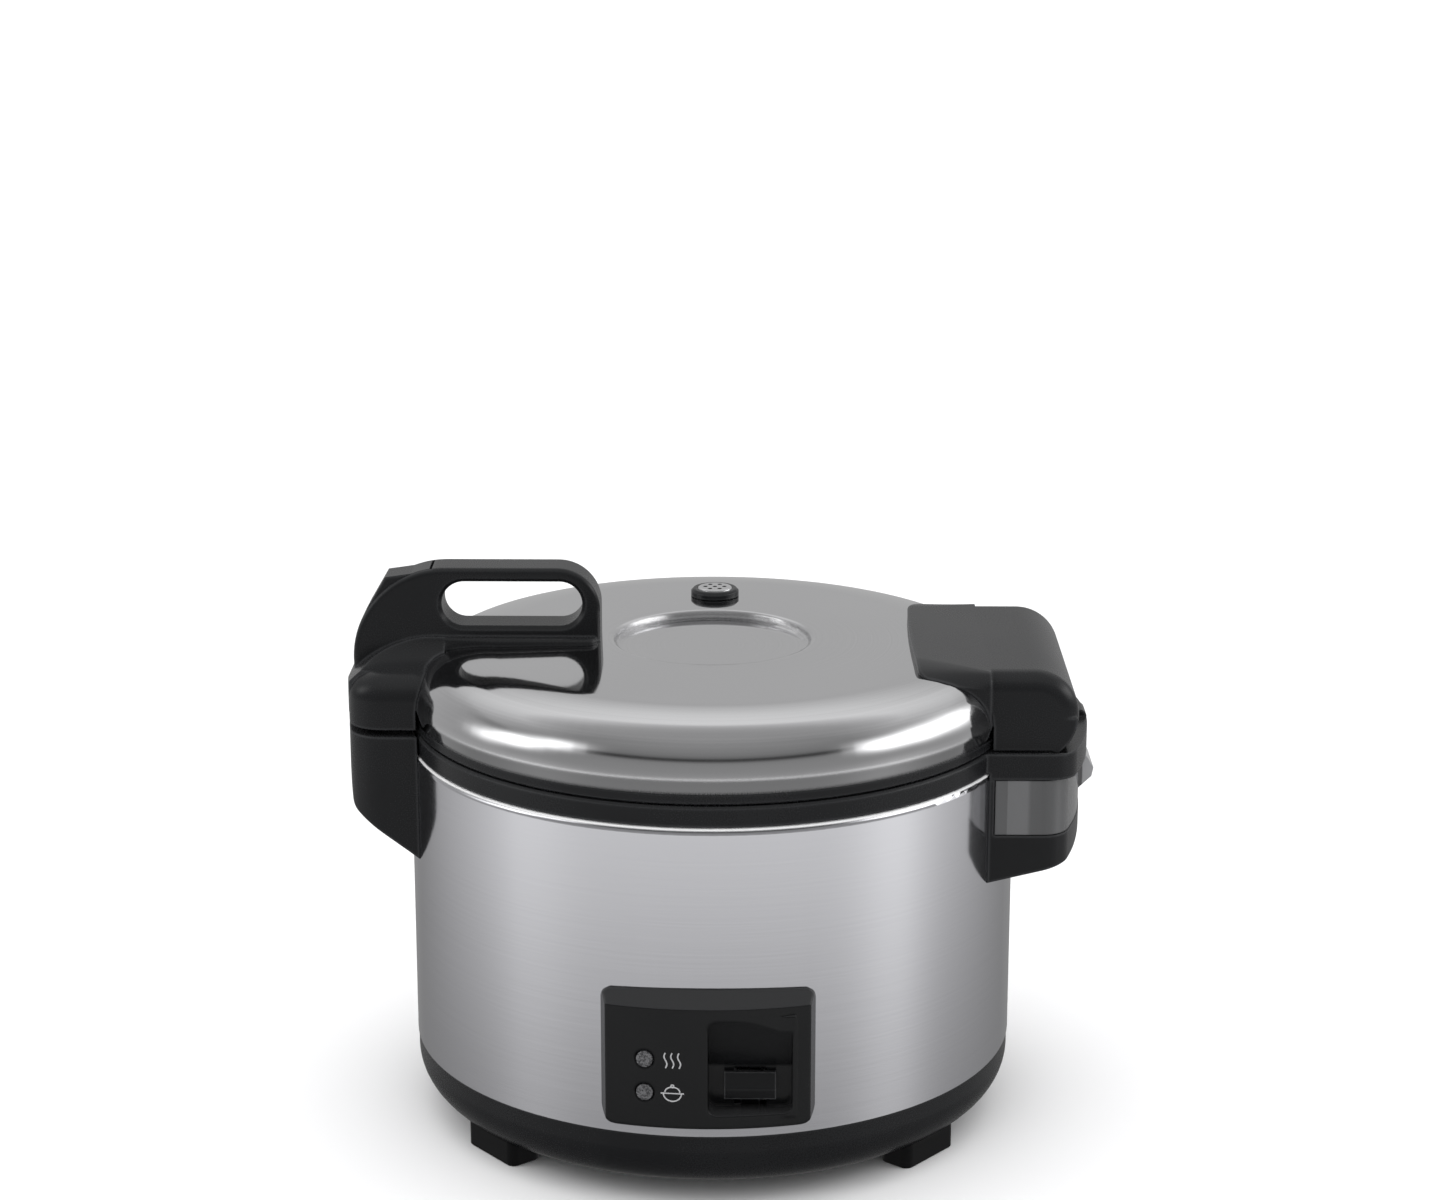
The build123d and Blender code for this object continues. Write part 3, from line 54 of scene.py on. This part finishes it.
scene = bpy.context.scene
potAxis = -0.005                                   # the pot's axis in X, metres
tintSpan = (0.25, 0.75)                            # stretch of a noise that its two tones span
bevelRays = 6


class Wire:
    # one socket of a node tree; arithmetic on it adds Math nodes
    def __init__(self, tree, socket=None):
        self.tree = tree
        self.socket = socket

    def make(self, kind, settings=None, sockets=None, out=0):
        node = self.tree.nodes.new(kind)
        for key, value in (settings or {}).items():
            if key == "stops":
                ramp = node.color_ramp.elements
                ramp[0].position, ramp[0].color = value[0]
                ramp[-1].position, ramp[-1].color = value[-1]
                for place, colour in value[1:-1]:
                    ramp.new(place).color = colour
            else:
                setattr(node, key, value)
        for key, value in (sockets or {}).items():
            if isinstance(value, Wire):
                self.tree.links.new(value.socket, node.inputs[key])
            else:
                node.inputs[key].default_value = value
        return Wire(self.tree, node.outputs[out])

    def math(self, operation, first, second=0.0):
        return self.make("ShaderNodeMath", {"operation": operation}, {0: first, 1: second})

    def __add__(self, other):
        return self.math("ADD", self, other)

    __radd__ = __add__

    def __sub__(self, other):
        return self.math("SUBTRACT", self, other)

    def __rsub__(self, other):
        return self.math("SUBTRACT", other, self)

    def __mul__(self, other):
        return self.math("MULTIPLY", self, other)

    __rmul__ = __mul__

    def __pow__(self, other):
        return self.math("POWER", self, other)

    def axis(self, name):
        return self.make("ShaderNodeSeparateXYZ", None, {0: self}, name)

    def scaled(self, scale):
        return self.make("ShaderNodeMapping", None, {"Vector": self, "Scale": scale})

    def noise(self, scale, detail=2.0, rough=0.5):
        sockets = {"Vector": self, "Scale": scale, "Detail": detail, "Roughness": rough}
        return self.make("ShaderNodeTexNoise", None, sockets)

    def dot(self, way):
        settings = {"operation": "DOT_PRODUCT"}
        return self.make("ShaderNodeVectorMath", settings, {0: self, 1: way}, "Value")

    def rise(self, low, high):
        limits = {"Value": self, "From Min": low, "From Max": high}
        return self.make("ShaderNodeMapRange", {"interpolation_type": "SMOOTHSTEP"}, limits)

    def blend(self, first, second):
        sockets = {0: self, 6: first, 7: second}   # a Mix node's factor and its two colours
        return self.make("ShaderNodeMix", {"data_type": "RGBA"}, sockets, 2)

    def tint(self, dark, light):
        stops = [(tintSpan[0], (*dark, 1)), (tintSpan[1], (*light, 1))]
        return self.make("ShaderNodeValToRGB", {"stops": stops}, {0: self})

    def ramp(self, *stops):
        greys = [(place, (tone, tone, tone, 1)) for place, tone in stops]
        return self.make("ShaderNodeValToRGB", {"stops": greys}, {0: self})

    def around(self, middle, swing):
        return (self - 0.5) * swing + middle       # a noise lies about 0.5

    def bevel(self, radius):
        return self.make("ShaderNodeBevel", {"samples": bevelRays}, {"Radius": radius})

    def bump(self, strength, depth, edge=0.0):
        sockets = {"Height": self, "Strength": strength, "Distance": depth}
        if edge:
            sockets["Normal"] = self.bevel(edge)
        return self.make("ShaderNodeBump", None, sockets)


def newFinish(name, fixed, varied):
    material = bpy.data.materials.new(name)
    material.use_nodes = True
    tree = material.node_tree
    shader = tree.nodes["Principled BSDF"]
    for key, value in fixed.items():
        shader.inputs[key].default_value = value
    place = Wire(tree).make("ShaderNodeTexCoord", None, None, "Object")
    for key, wire in varied(place).items():
        tree.links.new(wire.socket, shader.inputs[key])
    return material


# in every look a noise is scale, detail, roughness, and a bump is strength, depth, eased edge
bodySteelLook = {
    "dark": (0.588, 0.588, 0.614), "light": (0.630, 0.630, 0.656), "shares": (0.55, 0.45),
    "brush": (9, 9, 620), "lines": (1.0, 3.0, 0.6), "broad": (5.0, 2.0), "bump": (0.025, 0.0002),
    "rough": 0.13, "swing": 0.05,
    "roll": 0.0018, "rollFade": (-0.0003, 0.0005), "rollHighlight": (0.93, 0.93, 0.935, 1),
    "rollMetal": 0.25, "rollRough": 0.25,
}


def bodySteel(place):
    look = bodySteelLook
    lines = place.scaled(look["brush"]).noise(*look["lines"])      # brushed round the jacket
    broad = place.noise(*look["broad"])
    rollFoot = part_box("outer_shell")[1][2] - look["roll"]
    fadeFrom, fadeTo = [rollFoot + value for value in look["rollFade"]]
    roll = place.axis("Z").rise(fadeFrom, fadeTo)                  # painted highlight along the roll under the ring
    lineShare, broadShare = look["shares"]
    tone = (lines * lineShare + broad * broadShare).tint(look["dark"], look["light"])
    return {
        # the roll's near-white, less metallic, rougher tone is a painted highlight
        "Base Color": roll.blend(tone, look["rollHighlight"]),
        "Metallic": 1 - roll * (1 - look["rollMetal"]),
        "Roughness": lines.around(look["rough"], look["swing"]) + roll * look["rollRough"],
        "Normal": lines.bump(*look["bump"]),
    }


lidSteelLook = {
    "dark": (0.62, 0.62, 0.63), "light": (0.69, 0.69, 0.70), "shares": (0.4, 0.6),
    "spin": 900, "spunDetail": 2.0, "broad": (6.0, 2.0), "bump": (0.015, 0.0002, 0.003),
    "rough": 0.065, "spunSwing": 0.03, "broadSwing": 0.02,
}


def lidSteel(place):
    look = lidSteelLook
    radius = ((place.axis("X") - potAxis) ** 2 + place.axis("Y") ** 2) ** 0.5
    rings = {"W": radius * look["spin"], "Scale": 1.0, "Detail": look["spunDetail"]}
    spun = place.make("ShaderNodeTexNoise", {"noise_dimensions": "1D"}, rings)
    broad = place.noise(*look["broad"])
    spunShare, broadShare = look["shares"]
    gloss = spun.around(look["rough"], look["spunSwing"]) + (broad - 0.5) * look["broadSwing"]
    return {
        "Base Color": (spun * spunShare + broad * broadShare).tint(look["dark"], look["light"]),
        "Roughness": gloss,
        "Normal": spun.bump(*look["bump"]),
    }


charcoalLook = {
    "dark": (0.0066, 0.0069, 0.0077), "light": (0.0106, 0.0110, 0.0120), "rough": 0.27,
    "edge": 0.0014, "paintedTopLight": (0.0165, 0.0169, 0.0178, 1),
    "rimReach": 0.0028, "rim": (0.036, 0.037, 0.039, 1),
}
panelLook = {
    "dark": (0.0036, 0.0038, 0.0042), "light": (0.0060, 0.0063, 0.0068), "rough": 0.20,
    "edge": 0.0019, "paintedTopLight": (0.0265, 0.0268, 0.0278, 1),
}
leverLook = {
    "dark": (0.0036, 0.0038, 0.0042), "light": (0.0060, 0.0063, 0.0068), "rough": 0.20,
    "edge": 0.0012, "paintedTopLight": (0.0085, 0.0088, 0.0094, 1),
    "rimReach": 0.0016, "rim": (0.060, 0.061, 0.063, 1),
}
mouldSkin = {
    "grain": (1500, 2.0), "broad": (14.0, 3.0), "bump": (0.08, 0.00012),   # spark-eroded grain
    "grainSwing": 0.06, "broadSwing": 0.08, "upward": (0.15, 0.65), "turned": (0.008, 0.12),
}


def mouldedPlastic(look):
    def finish(place):
        grain = place.noise(*mouldSkin["grain"])
        broad = place.noise(*mouldSkin["broad"])
        faced = place.make("ShaderNodeNewGeometry", None, None, "Normal")
        upward = faced.axis("Z").rise(*mouldSkin["upward"])        # painted light: upper faces are paler, as if lit from above
        tone = upward.blend(broad.tint(look["dark"], look["light"]), look["paintedTopLight"])
        if "rim" in look:
            turned = 1 - place.bevel(look["rimReach"]).dot(faced)  # painted highlight: the edges are paler too
            tone = turned.rise(*mouldSkin["turned"]).blend(tone, look["rim"])
        gloss = broad.around(look["rough"], mouldSkin["broadSwing"])
        return {
            "Base Color": tone,
            "Roughness": gloss + (grain - 0.5) * mouldSkin["grainSwing"],
            "Normal": grain.bump(*mouldSkin["bump"], look["edge"]),
        }
    return finish


footLook = {
    "dark": (0.0030, 0.0030, 0.0033), "light": (0.0052, 0.0052, 0.0056), "rough": 0.45,
    "swing": 0.14, "grain": (1200.0, 2.0), "broad": (30.0, 3.0), "bump": (0.14, 0.00015, 0.0012),
}


def footPlastic(place):
    broad = place.noise(*footLook["broad"])
    return {
        "Base Color": broad.tint(footLook["dark"], footLook["light"]),
        "Roughness": broad.around(footLook["rough"], footLook["swing"]),
        "Normal": place.noise(*footLook["grain"]).bump(*footLook["bump"]),
    }


smokedLook = {
    "dark": (0.038, 0.0385, 0.040), "light": (0.066, 0.067, 0.070), "rough": 0.13, "swing": 0.06,
    "pipe": (70, 30, 2), "streak": (1.0, 2.0, 0.5), "bump": (0.03, 0.0006, 0.0011),
    "rib": (0.118, 0.119, 0.123, 1), "ribAt": (0.007, 0.017), "ribFade": (0.0006, 0.003),
    "ribShare": 0.6,
    "tab": (0.30, 0.30, 0.31, 1), "tabReach": 0.0066, "tabFade": 0.0008,
}


def smokedPlastic(place):
    look = smokedLook
    streak = place.scaled(look["pipe"]).noise(*look["streak"])     # light piped down the walls
    low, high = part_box("dew_collector")
    across = place.axis("X")
    ribFrom, ribTo = [low[0] + value for value in look["ribAt"]]
    fadeIn, fadeOut = look["ribFade"]
    rib = across.rise(ribFrom - fadeIn, ribFrom) * across.rise(ribTo + fadeOut, ribTo)
    tabFoot = high[0] - look["tabReach"]
    tab = across.rise(tabFoot, tabFoot + look["tabFade"])          # the thin tab lets light through
    walls = streak.tint(look["dark"], look["light"])
    ribbed = (rib * look["ribShare"]).blend(walls, look["rib"])    # painted highlight: a paler vertical band on the walls
    return {
        "Base Color": tab.blend(ribbed, look["tab"]),
        "Roughness": streak.around(look["rough"], look["swing"]),
        "Normal": streak.bump(*look["bump"]),
    }


lensLook = {
    "dark": (0.030, 0.030, 0.032), "light": (0.115, 0.115, 0.120), "facet": 1300,
    "rough": 0.16, "deeper": 0.15, "bump": (0.5, 0.0006),
}


def lensPlastic(place):
    facets = {"Vector": place, "Scale": lensLook["facet"]}
    cells = place.make("ShaderNodeTexVoronoi", None, facets, "Color")
    depth = place.make("ShaderNodeTexVoronoi", None, facets, "Distance")
    return {
        "Base Color": cells.axis("X").tint(lensLook["dark"], lensLook["light"]),
        "Roughness": lensLook["rough"] + depth * lensLook["deeper"],
        "Normal": depth.bump(*lensLook["bump"]),
    }


potLook = {
    "dark": (0.085, 0.087, 0.090), "light": (0.125, 0.127, 0.130), "fleck": (0.30, 0.30, 0.31, 1),
    "broad": (25.0, 3.0), "flecks": (900.0, 1.0), "fleckEdge": ((0.66, 0.0), (0.72, 1.0)),
    "rough": 0.38, "swing": 0.10, "bump": (0.05, 0.0002),
}


def potCoating(place):
    broad = place.noise(*potLook["broad"])
    fleck = place.noise(*potLook["flecks"]).ramp(*potLook["fleckEdge"])
    base = broad.tint(potLook["dark"], potLook["light"])
    return {
        "Base Color": fleck.blend(base, potLook["fleck"]),
        "Roughness": broad.around(potLook["rough"], potLook["swing"]),
        "Normal": fleck.bump(*potLook["bump"]),
    }


tapeLook = {
    "dark": (0.46, 0.42, 0.35), "light": (0.62, 0.58, 0.50), "weave": 260.0,
    "rough": 0.7, "raised": 0.2, "bump": (0.2, 0.0004),
}


def glassTape(place):
    threads = {"Vector": place, "Scale": tapeLook["weave"]}
    weave = place.make("ShaderNodeTexBrick", None, threads, "Fac")
    return {
        "Base Color": weave.tint(tapeLook["dark"], tapeLook["light"]),
        "Roughness": tapeLook["rough"] + weave * tapeLook["raised"],
        "Normal": weave.bump(*tapeLook["bump"]),
    }


lampLook = {
    "dark": (0.55, 0.26, 0.06), "light": (0.75, 0.40, 0.12),
    "grain": (300.0, 2.0), "rough": 0.25, "swing": 0.10,
}
ventLook = {
    "dark": (0.62, 0.62, 0.63), "light": (0.74, 0.74, 0.75),
    "grain": (160.0, 3.0), "rough": 0.17, "swing": 0.10,
}
sheetLook = {
    "dark": (0.50, 0.50, 0.51), "light": (0.60, 0.60, 0.61), "brush": (400, 12, 12),
    "grain": (1.0, 3.0), "rough": 0.26, "swing": 0.14, "bump": (0.05, 0.0002),
}
platedLook = {
    "dark": (0.44, 0.44, 0.45), "light": (0.58, 0.58, 0.59),
    "grain": (220.0, 3.0), "rough": 0.32, "swing": 0.16, "bump": (0.04, 0.0003, 0.0003),
}
springLook = {
    "dark": (0.36, 0.36, 0.37), "light": (0.52, 0.52, 0.53),
    "grain": (500.0, 2.0), "rough": 0.28, "swing": 0.12,
}
aluminiumLook = {
    "dark": (0.60, 0.60, 0.61), "light": (0.70, 0.70, 0.71), "brush": (8, 260, 8),
    "grain": (1.0, 3.0), "rough": 0.30, "swing": 0.12, "bump": (0.04, 0.0002),
}
siliconeLook = {
    "dark": (0.20, 0.20, 0.20), "light": (0.27, 0.27, 0.27),
    "grain": (60.0, 4.0), "rough": 0.55, "swing": 0.15, "bump": (0.06, 0.0004, 0.0006),
}
creamLook = {
    "dark": (0.52, 0.49, 0.42), "light": (0.60, 0.57, 0.50),
    "grain": (70.0, 3.0), "rough": 0.42, "swing": 0.10,
}
inkLook = {
    "dark": (0.36, 0.36, 0.37), "light": (0.46, 0.46, 0.47),
    "grain": (700.0, 3.0), "rough": 0.45, "swing": 0.10,
}


def grained(look):
    # one noise gives the tone, the gloss and, where the look has a bump, the relief
    def finish(place):
        if "brush" in look:
            place = place.scaled(look["brush"])
        grain = place.noise(*look["grain"])
        surface = {
            "Base Color": grain.tint(look["dark"], look["light"]),
            "Roughness": grain.around(look["rough"], look["swing"]),
        }
        if "bump" in look:
            surface["Normal"] = grain.bump(*look["bump"])
        return surface
    return finish


metal = {"Metallic": 1.0}
shine = "Specular IOR Level"
smokedCoat = {"Coat Weight": 0.4, "Coat Roughness": 0.08}
lensCoat = {"Coat Weight": 0.3}
finishes = {
    "body_steel": newFinish("bodySteel", metal, bodySteel),
    "lid_steel": newFinish("lidSteel", metal, lidSteel),
    "black_plastic": newFinish("charcoalPlastic", {shine: 0.19}, mouldedPlastic(charcoalLook)),
    "foot_plastic": newFinish("footPlastic", {shine: 0.1}, footPlastic),
    "smoked_plastic": newFinish("smokedPlastic", smokedCoat, smokedPlastic),
    "lens_plastic": newFinish("lensPlastic", lensCoat, lensPlastic),
    "lamp_glass": newFinish("lampGlow", lensCoat, grained(lampLook)),
    "vent_metal": newFinish("ventMetal", metal, grained(ventLook)),
    "sheet_steel": newFinish("sheetSteel", metal, grained(sheetLook)),
    "steel_hardware": newFinish("platedSteel", metal, grained(platedLook)),
    "spring_steel": newFinish("springWire", metal, grained(springLook)),
    "pot_aluminium": newFinish("potCoating", {shine: 0.5}, potCoating),
    "plain_aluminium": newFinish("plainAluminium", metal, grained(aluminiumLook)),
    "seal_rubber": newFinish("greySilicone", {shine: 0.4}, grained(siliconeLook)),
    "band_fabric": newFinish("glassTape", {shine: 0.3}, glassTape),
    "terminal_plastic": newFinish("creamMoulding", {shine: 0.5}, grained(creamLook)),
}
glossyFinishes = {                                 # two black pieces shine more than the rest
    "control_panel": newFinish("panelPlastic", {shine: 0.28}, mouldedPlastic(panelLook)),
    "cook_lever": newFinish("leverPlastic", {shine: 0.28}, mouldedPlastic(leverLook)),
}
for part in frame["record"]["subparts"]:
    piece = nodes[part["node"]]
    piece.data.materials.clear()
    piece.data.materials.append(finishes[part["material_slot"]])
for name, finish in glossyFinishes.items():
    nodes[name].data.materials[0] = finish
print("finishes:", len(finishes) + len(glossyFinishes), "on the model's own nodes")

# the two coil springs, copied off their nodes and hung on their bodies
springs = {
    "sensorCoil": {
        "node": "sensor_spring", "body": "cooker_body", "joint": "sensor_press", "travel": 0.0026,
    },
    "latchCoil": {
        "node": "latch_spring", "body": "lid", "joint": "latch_release", "travel": 0.0033,
    },
}
mergeGap = 0.000001


def makeSpring(name, spring):
    mesh = nodes[spring["node"]].data.copy()
    coil = bmesh.new()
    coil.from_mesh(mesh)
    bmesh.ops.remove_doubles(coil, verts=coil.verts, dist=mergeGap)
    coil.to_mesh(mesh)
    coil.free()
    piece = bpy.data.objects.new(name, mesh)
    scene.collection.objects.link(piece)
    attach(piece, spring["body"])
    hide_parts(spring["node"])
    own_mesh(piece)


for name, spring in springs.items():
    makeSpring(name, spring)
print("springs:", len(springs), "coils that shorten")

# two small signs beside the lamps, raised on the panel's curved face
signs = {
    "faceRadius": 0.178, "stroke": 0.00042, "sunk": 0.0001, "height": 0.0085,
    "warmAt": (-0.0235, 0.0899), "cookAt": (-0.0235, 0.0712),
    "waveGap": 0.42, "waveSwing": 0.09, "waveSteps": 16, "arcSteps": 14, "roundSteps": 2,
}


def waveStroke(middle):
    points = []
    for step in range(signs["waveSteps"] + 1):
        t = step / signs["waveSteps"]
        points.append((middle + signs["waveSwing"] * math.sin(t * 2 * math.pi), t - 0.5))
    return points


def arcStroke(middle, size, start, end):
    points = []
    for step in range(signs["arcSteps"] + 1):
        angle = math.radians(start + (end - start) * step / signs["arcSteps"])
        across = middle[0] + size[0] * math.cos(angle)
        points.append((across, middle[1] + size[1] * math.sin(angle)))
    return points


signStrokes = {                                    # in shares of a sign's height
    "warmSign": [waveStroke(-signs["waveGap"]), waveStroke(0.0), waveStroke(signs["waveGap"])],
    "cookSign": [
        arcStroke((0, 0.02), (0.56, 0.52), 180, 360) + [(-0.56, 0.02)],   # bowl
        [(-0.72, 0.02), (0.72, 0.02)],                                    # brim
        arcStroke((0, 0.10), (0.46, 0.34), 0, 180),                       # cover
        arcStroke((0, 0.50), (0.09, 0.09), 0, 360),                       # knob
    ],
}
signInk = newFinish("printGrey", {shine: 0.4}, grained(inkLook))


def onPanel(x, z):
    radius = signs["faceRadius"] - signs["sunk"]
    return (x, -math.sqrt(radius ** 2 - (x - potAxis) ** 2), z, 1)


def plainMesh(made):
    graph = bpy.context.evaluated_depsgraph_get()
    return bpy.data.meshes.new_from_object(made.evaluated_get(graph))


def makeSign(name, middle):
    curve = bpy.data.curves.new(name + "Line", "CURVE")
    curve.dimensions = "3D"
    curve.bevel_depth = signs["stroke"]
    curve.bevel_resolution = signs["roundSteps"]
    curve.use_fill_caps = True
    for stroke in signStrokes[name]:
        spline = curve.splines.new("POLY")
        spline.points.add(len(stroke) - 1)
        for point, (u, v) in zip(spline.points, stroke):
            point.co = onPanel(middle[0] + u * signs["height"], middle[1] + v * signs["height"])
    line = bpy.data.objects.new(name + "Line", curve)
    scene.collection.objects.link(line)
    mesh = plainMesh(line)
    bpy.data.objects.remove(line)
    sign = bpy.data.objects.new(name, mesh)
    scene.collection.objects.link(sign)
    mesh.materials.clear()
    mesh.materials.append(signInk)
    for face in mesh.polygons:
        face.use_smooth = True
    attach(sign, "cooker_body")


makeSign("warmSign", signs["warmAt"])
makeSign("cookSign", signs["cookAt"])
print("signs: two pictograms on the panel")

# water levels inside the pot's rear wall, a long mark at every other one
levelMarks = {
    "Count": 9, "Step": 0.0125, "Long": 0.017, "Short": 0.010, "Thick": 0.0006, "Tall": 0.0012,
    "Start": (potAxis, 0.1468, 0.098),
}
socketKinds = {int: "NodeSocketInt", float: "NodeSocketFloat", tuple: "NodeSocketVector"}


def newInput(tree, name, kind):
    return tree.interface.new_socket(name, in_out="INPUT", socket_type=kind).identifier


def markTree():
    tree = bpy.data.node_groups.new("levelMarks", "GeometryNodeTree")
    places = {}
    for name, value in levelMarks.items():
        places[name] = newInput(tree, name, socketKinds[type(value)])
    places["Finish"] = newInput(tree, "Finish", "NodeSocketMaterial")
    tree.interface.new_socket("Geometry", in_out="OUTPUT", socket_type="NodeSocketGeometry")
    start = Wire(tree)
    given = {name: start.make("NodeGroupInput", None, None, name) for name in places}
    up = start.make("ShaderNodeCombineXYZ", None, {"Z": given["Step"]})
    rungs = {"Count": given["Count"], "Start Location": given["Start"], "Offset": up}
    column = start.make("GeometryNodeMeshLine", {"mode": "OFFSET"}, rungs)
    odd = start.math("MODULO", start.make("GeometryNodeInputIndex"), 2.0)
    width = given["Long"] - odd * (given["Long"] - given["Short"])
    sides = {"X": 1.0, "Y": given["Thick"], "Z": given["Tall"]}
    section = start.make("ShaderNodeCombineXYZ", None, sides)
    bar = start.make("GeometryNodeMeshCube", None, {"Size": section})
    stretch = start.make("ShaderNodeCombineXYZ", None, {"X": width, "Y": 1.0, "Z": 1.0})
    copies = {"Points": column, "Instance": bar, "Scale": stretch}
    marks = start.make("GeometryNodeInstanceOnPoints", None, copies)
    marks = start.make("GeometryNodeRealizeInstances", None, {0: marks})
    finished = {"Geometry": marks, "Material": given["Finish"]}
    marks = start.make("GeometryNodeSetMaterial", None, finished)
    tree.links.new(marks.socket, tree.nodes.new("NodeGroupOutput").inputs[0])
    return tree, places


def makeMarks():
    tree, places = markTree()
    marks = bpy.data.objects.new("levelMarks", bpy.data.meshes.new("levelMarksStart"))
    scene.collection.objects.link(marks)
    modifier = marks.modifiers.new("marks", "NODES")
    modifier.node_group = tree
    for name, value in levelMarks.items():
        modifier[places[name]] = value
    modifier[places["Finish"]] = signInk
    mesh = plainMesh(marks)
    marks.modifiers.remove(modifier)
    marks.data = mesh
    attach(marks, "cooker_body")
    print("marks:", len(mesh.polygons), "faces inside the pot")


makeMarks()

# floor, light and camera
floorLook = {
    "half": 16.0, "tone": (0.86, 0.86, 0.865), "paler": 0.02, "patches": 0.8,
    "fixed": {shine: 0.1, "Roughness": 0.8},
}


def paleFloor(place):
    tone = floorLook["tone"]
    lighter = tuple(value + floorLook["paler"] for value in tone)
    return {"Base Color": place.noise(floorLook["patches"]).tint(tone, lighter)}


def makeFloor():
    half = floorLook["half"]
    corners = [(-half, -half, 0), (half, -half, 0), (half, half, 0), (-half, half, 0)]
    mesh = bpy.data.meshes.new("floor")
    mesh.from_pydata(corners, [], [(0, 1, 2, 3)])
    mesh.materials.append(newFinish("paleFloor", floorLook["fixed"], paleFloor))
    floor = bpy.data.objects.new("floor", mesh)
    scene.collection.objects.link(floor)
    floor.visible_glossy = False


lightSet = {
    "frontTones": (                                # what the gloss sees, from straight down to up
        (0.0, 0.20), (0.20, 0.25), (0.265, 0.24), (0.30, 0.47), (0.337, 0.97), (0.365, 0.88),
        (0.40, 0.44), (0.45, 0.36), (0.50, 0.34), (0.60, 0.31), (0.70, 0.28), (0.735, 0.07),
        (0.765, 0.04), (0.785, 0.18), (0.82, 0.23), (0.87, 0.27), (0.953, 0.32), (1.0, 0.38),
    ),
    "backTones": (
        (0.0, 0.22), (0.27, 0.22), (0.335, 0.30), (0.38, 0.46), (0.50, 0.49), (0.70, 0.51),
        (0.79, 0.80), (0.88, 1.05), (0.95, 0.55), (1.0, 0.38),
    ),
    "softTones": ((0.0, 0.30), (0.47, 0.38), (0.55, 0.52), (0.75, 1.15), (1.0, 1.75)),
    "backdrop": (1, 1, 1, 1),                      # what the camera sees past the floor
    "turnAt": 0.2,                                 # where the front's tones give way to the back's
    "lobes": (                                     # soft boxes: bearing, height, narrowness, tone
        (-65, 32, 75.0, 1.9), (-79, 20, 75.0, 3.2), (-92, 11, 85.0, 1.2),
        (72, 25, 60.0, 3.0), (90, 23, 60.0, 4.0), (108, 20, 60.0, 3.0),
        (-70, -20, 26.0, 0.10), (72, -20, 26.0, 0.22),
    ),
    "boxes": {                                     # place, size, tone
        "leftBox": ((-1.55, -0.22, 1.02), (0.75, 0.55), 2.4),
        "rightBox": ((1.55, -0.22, 1.02), (0.75, 0.55), 2.4),
        "overBox": ((0.0, -0.5, 2.4), (1.6, 1.6), 0.5),
    },
    "aim": (0.0, 0.0, 0.2),
}


def wayTo(bearing, height):
    turn, lift = math.radians(bearing), math.radians(height)   # bearing to the right of the front
    return (math.sin(turn) * math.cos(lift), -math.cos(turn) * math.cos(lift), math.sin(lift))


def makeWorld():
    world = bpy.data.worlds.new("studio")
    scene.world = world
    world.use_nodes = True
    tree = world.node_tree
    tree.nodes.clear()
    start = Wire(tree)
    way = start.make("ShaderNodeTexCoord", None, None, "Generated")
    level = way.axis("Z") * 0.5 + 0.5              # 0 straight down, 1 straight up
    front = level.ramp(*lightSet["frontTones"])
    back = level.ramp(*lightSet["backTones"])
    behind = (way.axis("Y") + lightSet["turnAt"]).ramp((0.0, 0.0), (1.0, 1.0))
    studio = behind.blend(front, back)
    for bearing, height, narrow, strength in lightSet["lobes"]:
        toward = way.dot(wayTo(bearing, height))
        studio = studio + start.math("MAXIMUM", toward, 0.0) ** narrow * strength
    glossy = start.make("ShaderNodeLightPath", None, None, "Is Glossy Ray")
    direct = start.make("ShaderNodeLightPath", None, None, "Is Camera Ray")
    soft = level.ramp(*lightSet["softTones"])
    tone = direct.blend(glossy.blend(soft, studio), lightSet["backdrop"])
    glow = start.make("ShaderNodeBackground", None, {"Color": tone, "Strength": 1.0})
    out = tree.nodes.new("ShaderNodeOutputWorld")
    tree.links.new(glow.socket, out.inputs["Surface"])


def makeBoxes():
    for name, (place, size, tone) in lightSet["boxes"].items():
        lamp = bpy.data.lights.new(name, "AREA")
        lamp.shape = "RECTANGLE"
        lamp.size, lamp.size_y = size
        lamp.energy = math.pi * tone * size[0] * size[1]
        box = bpy.data.objects.new(name, lamp)
        box.location = place
        aim = Vector(lightSet["aim"]) - Vector(place)
        box.rotation_euler = aim.to_track_quat("-Z", "Y").to_euler()
        box.visible_camera = False
        box.visible_glossy = False                 # the world's own soft boxes show in the gloss
        scene.collection.objects.link(box)


view = {
    "place": (0.0212, -1.7087, 0.7523), "pitch": 0.2634, "turn": 0.0129,
    "lens": 79.06, "sensor": 36.0,
}


def makeCamera():
    data = bpy.data.cameras.new("camera")
    data.lens = view["lens"]
    data.sensor_width = view["sensor"]
    camera = bpy.data.objects.new("camera", data)
    camera.location = view["place"]
    camera.rotation_euler = (math.pi / 2 - view["pitch"], 0, view["turn"])
    scene.collection.objects.link(camera)
    scene.camera = camera


makeFloor()
makeWorld()
makeBoxes()
makeCamera()
scene.view_settings.view_transform = "Standard"
print("stage: floor, world, lights and camera")
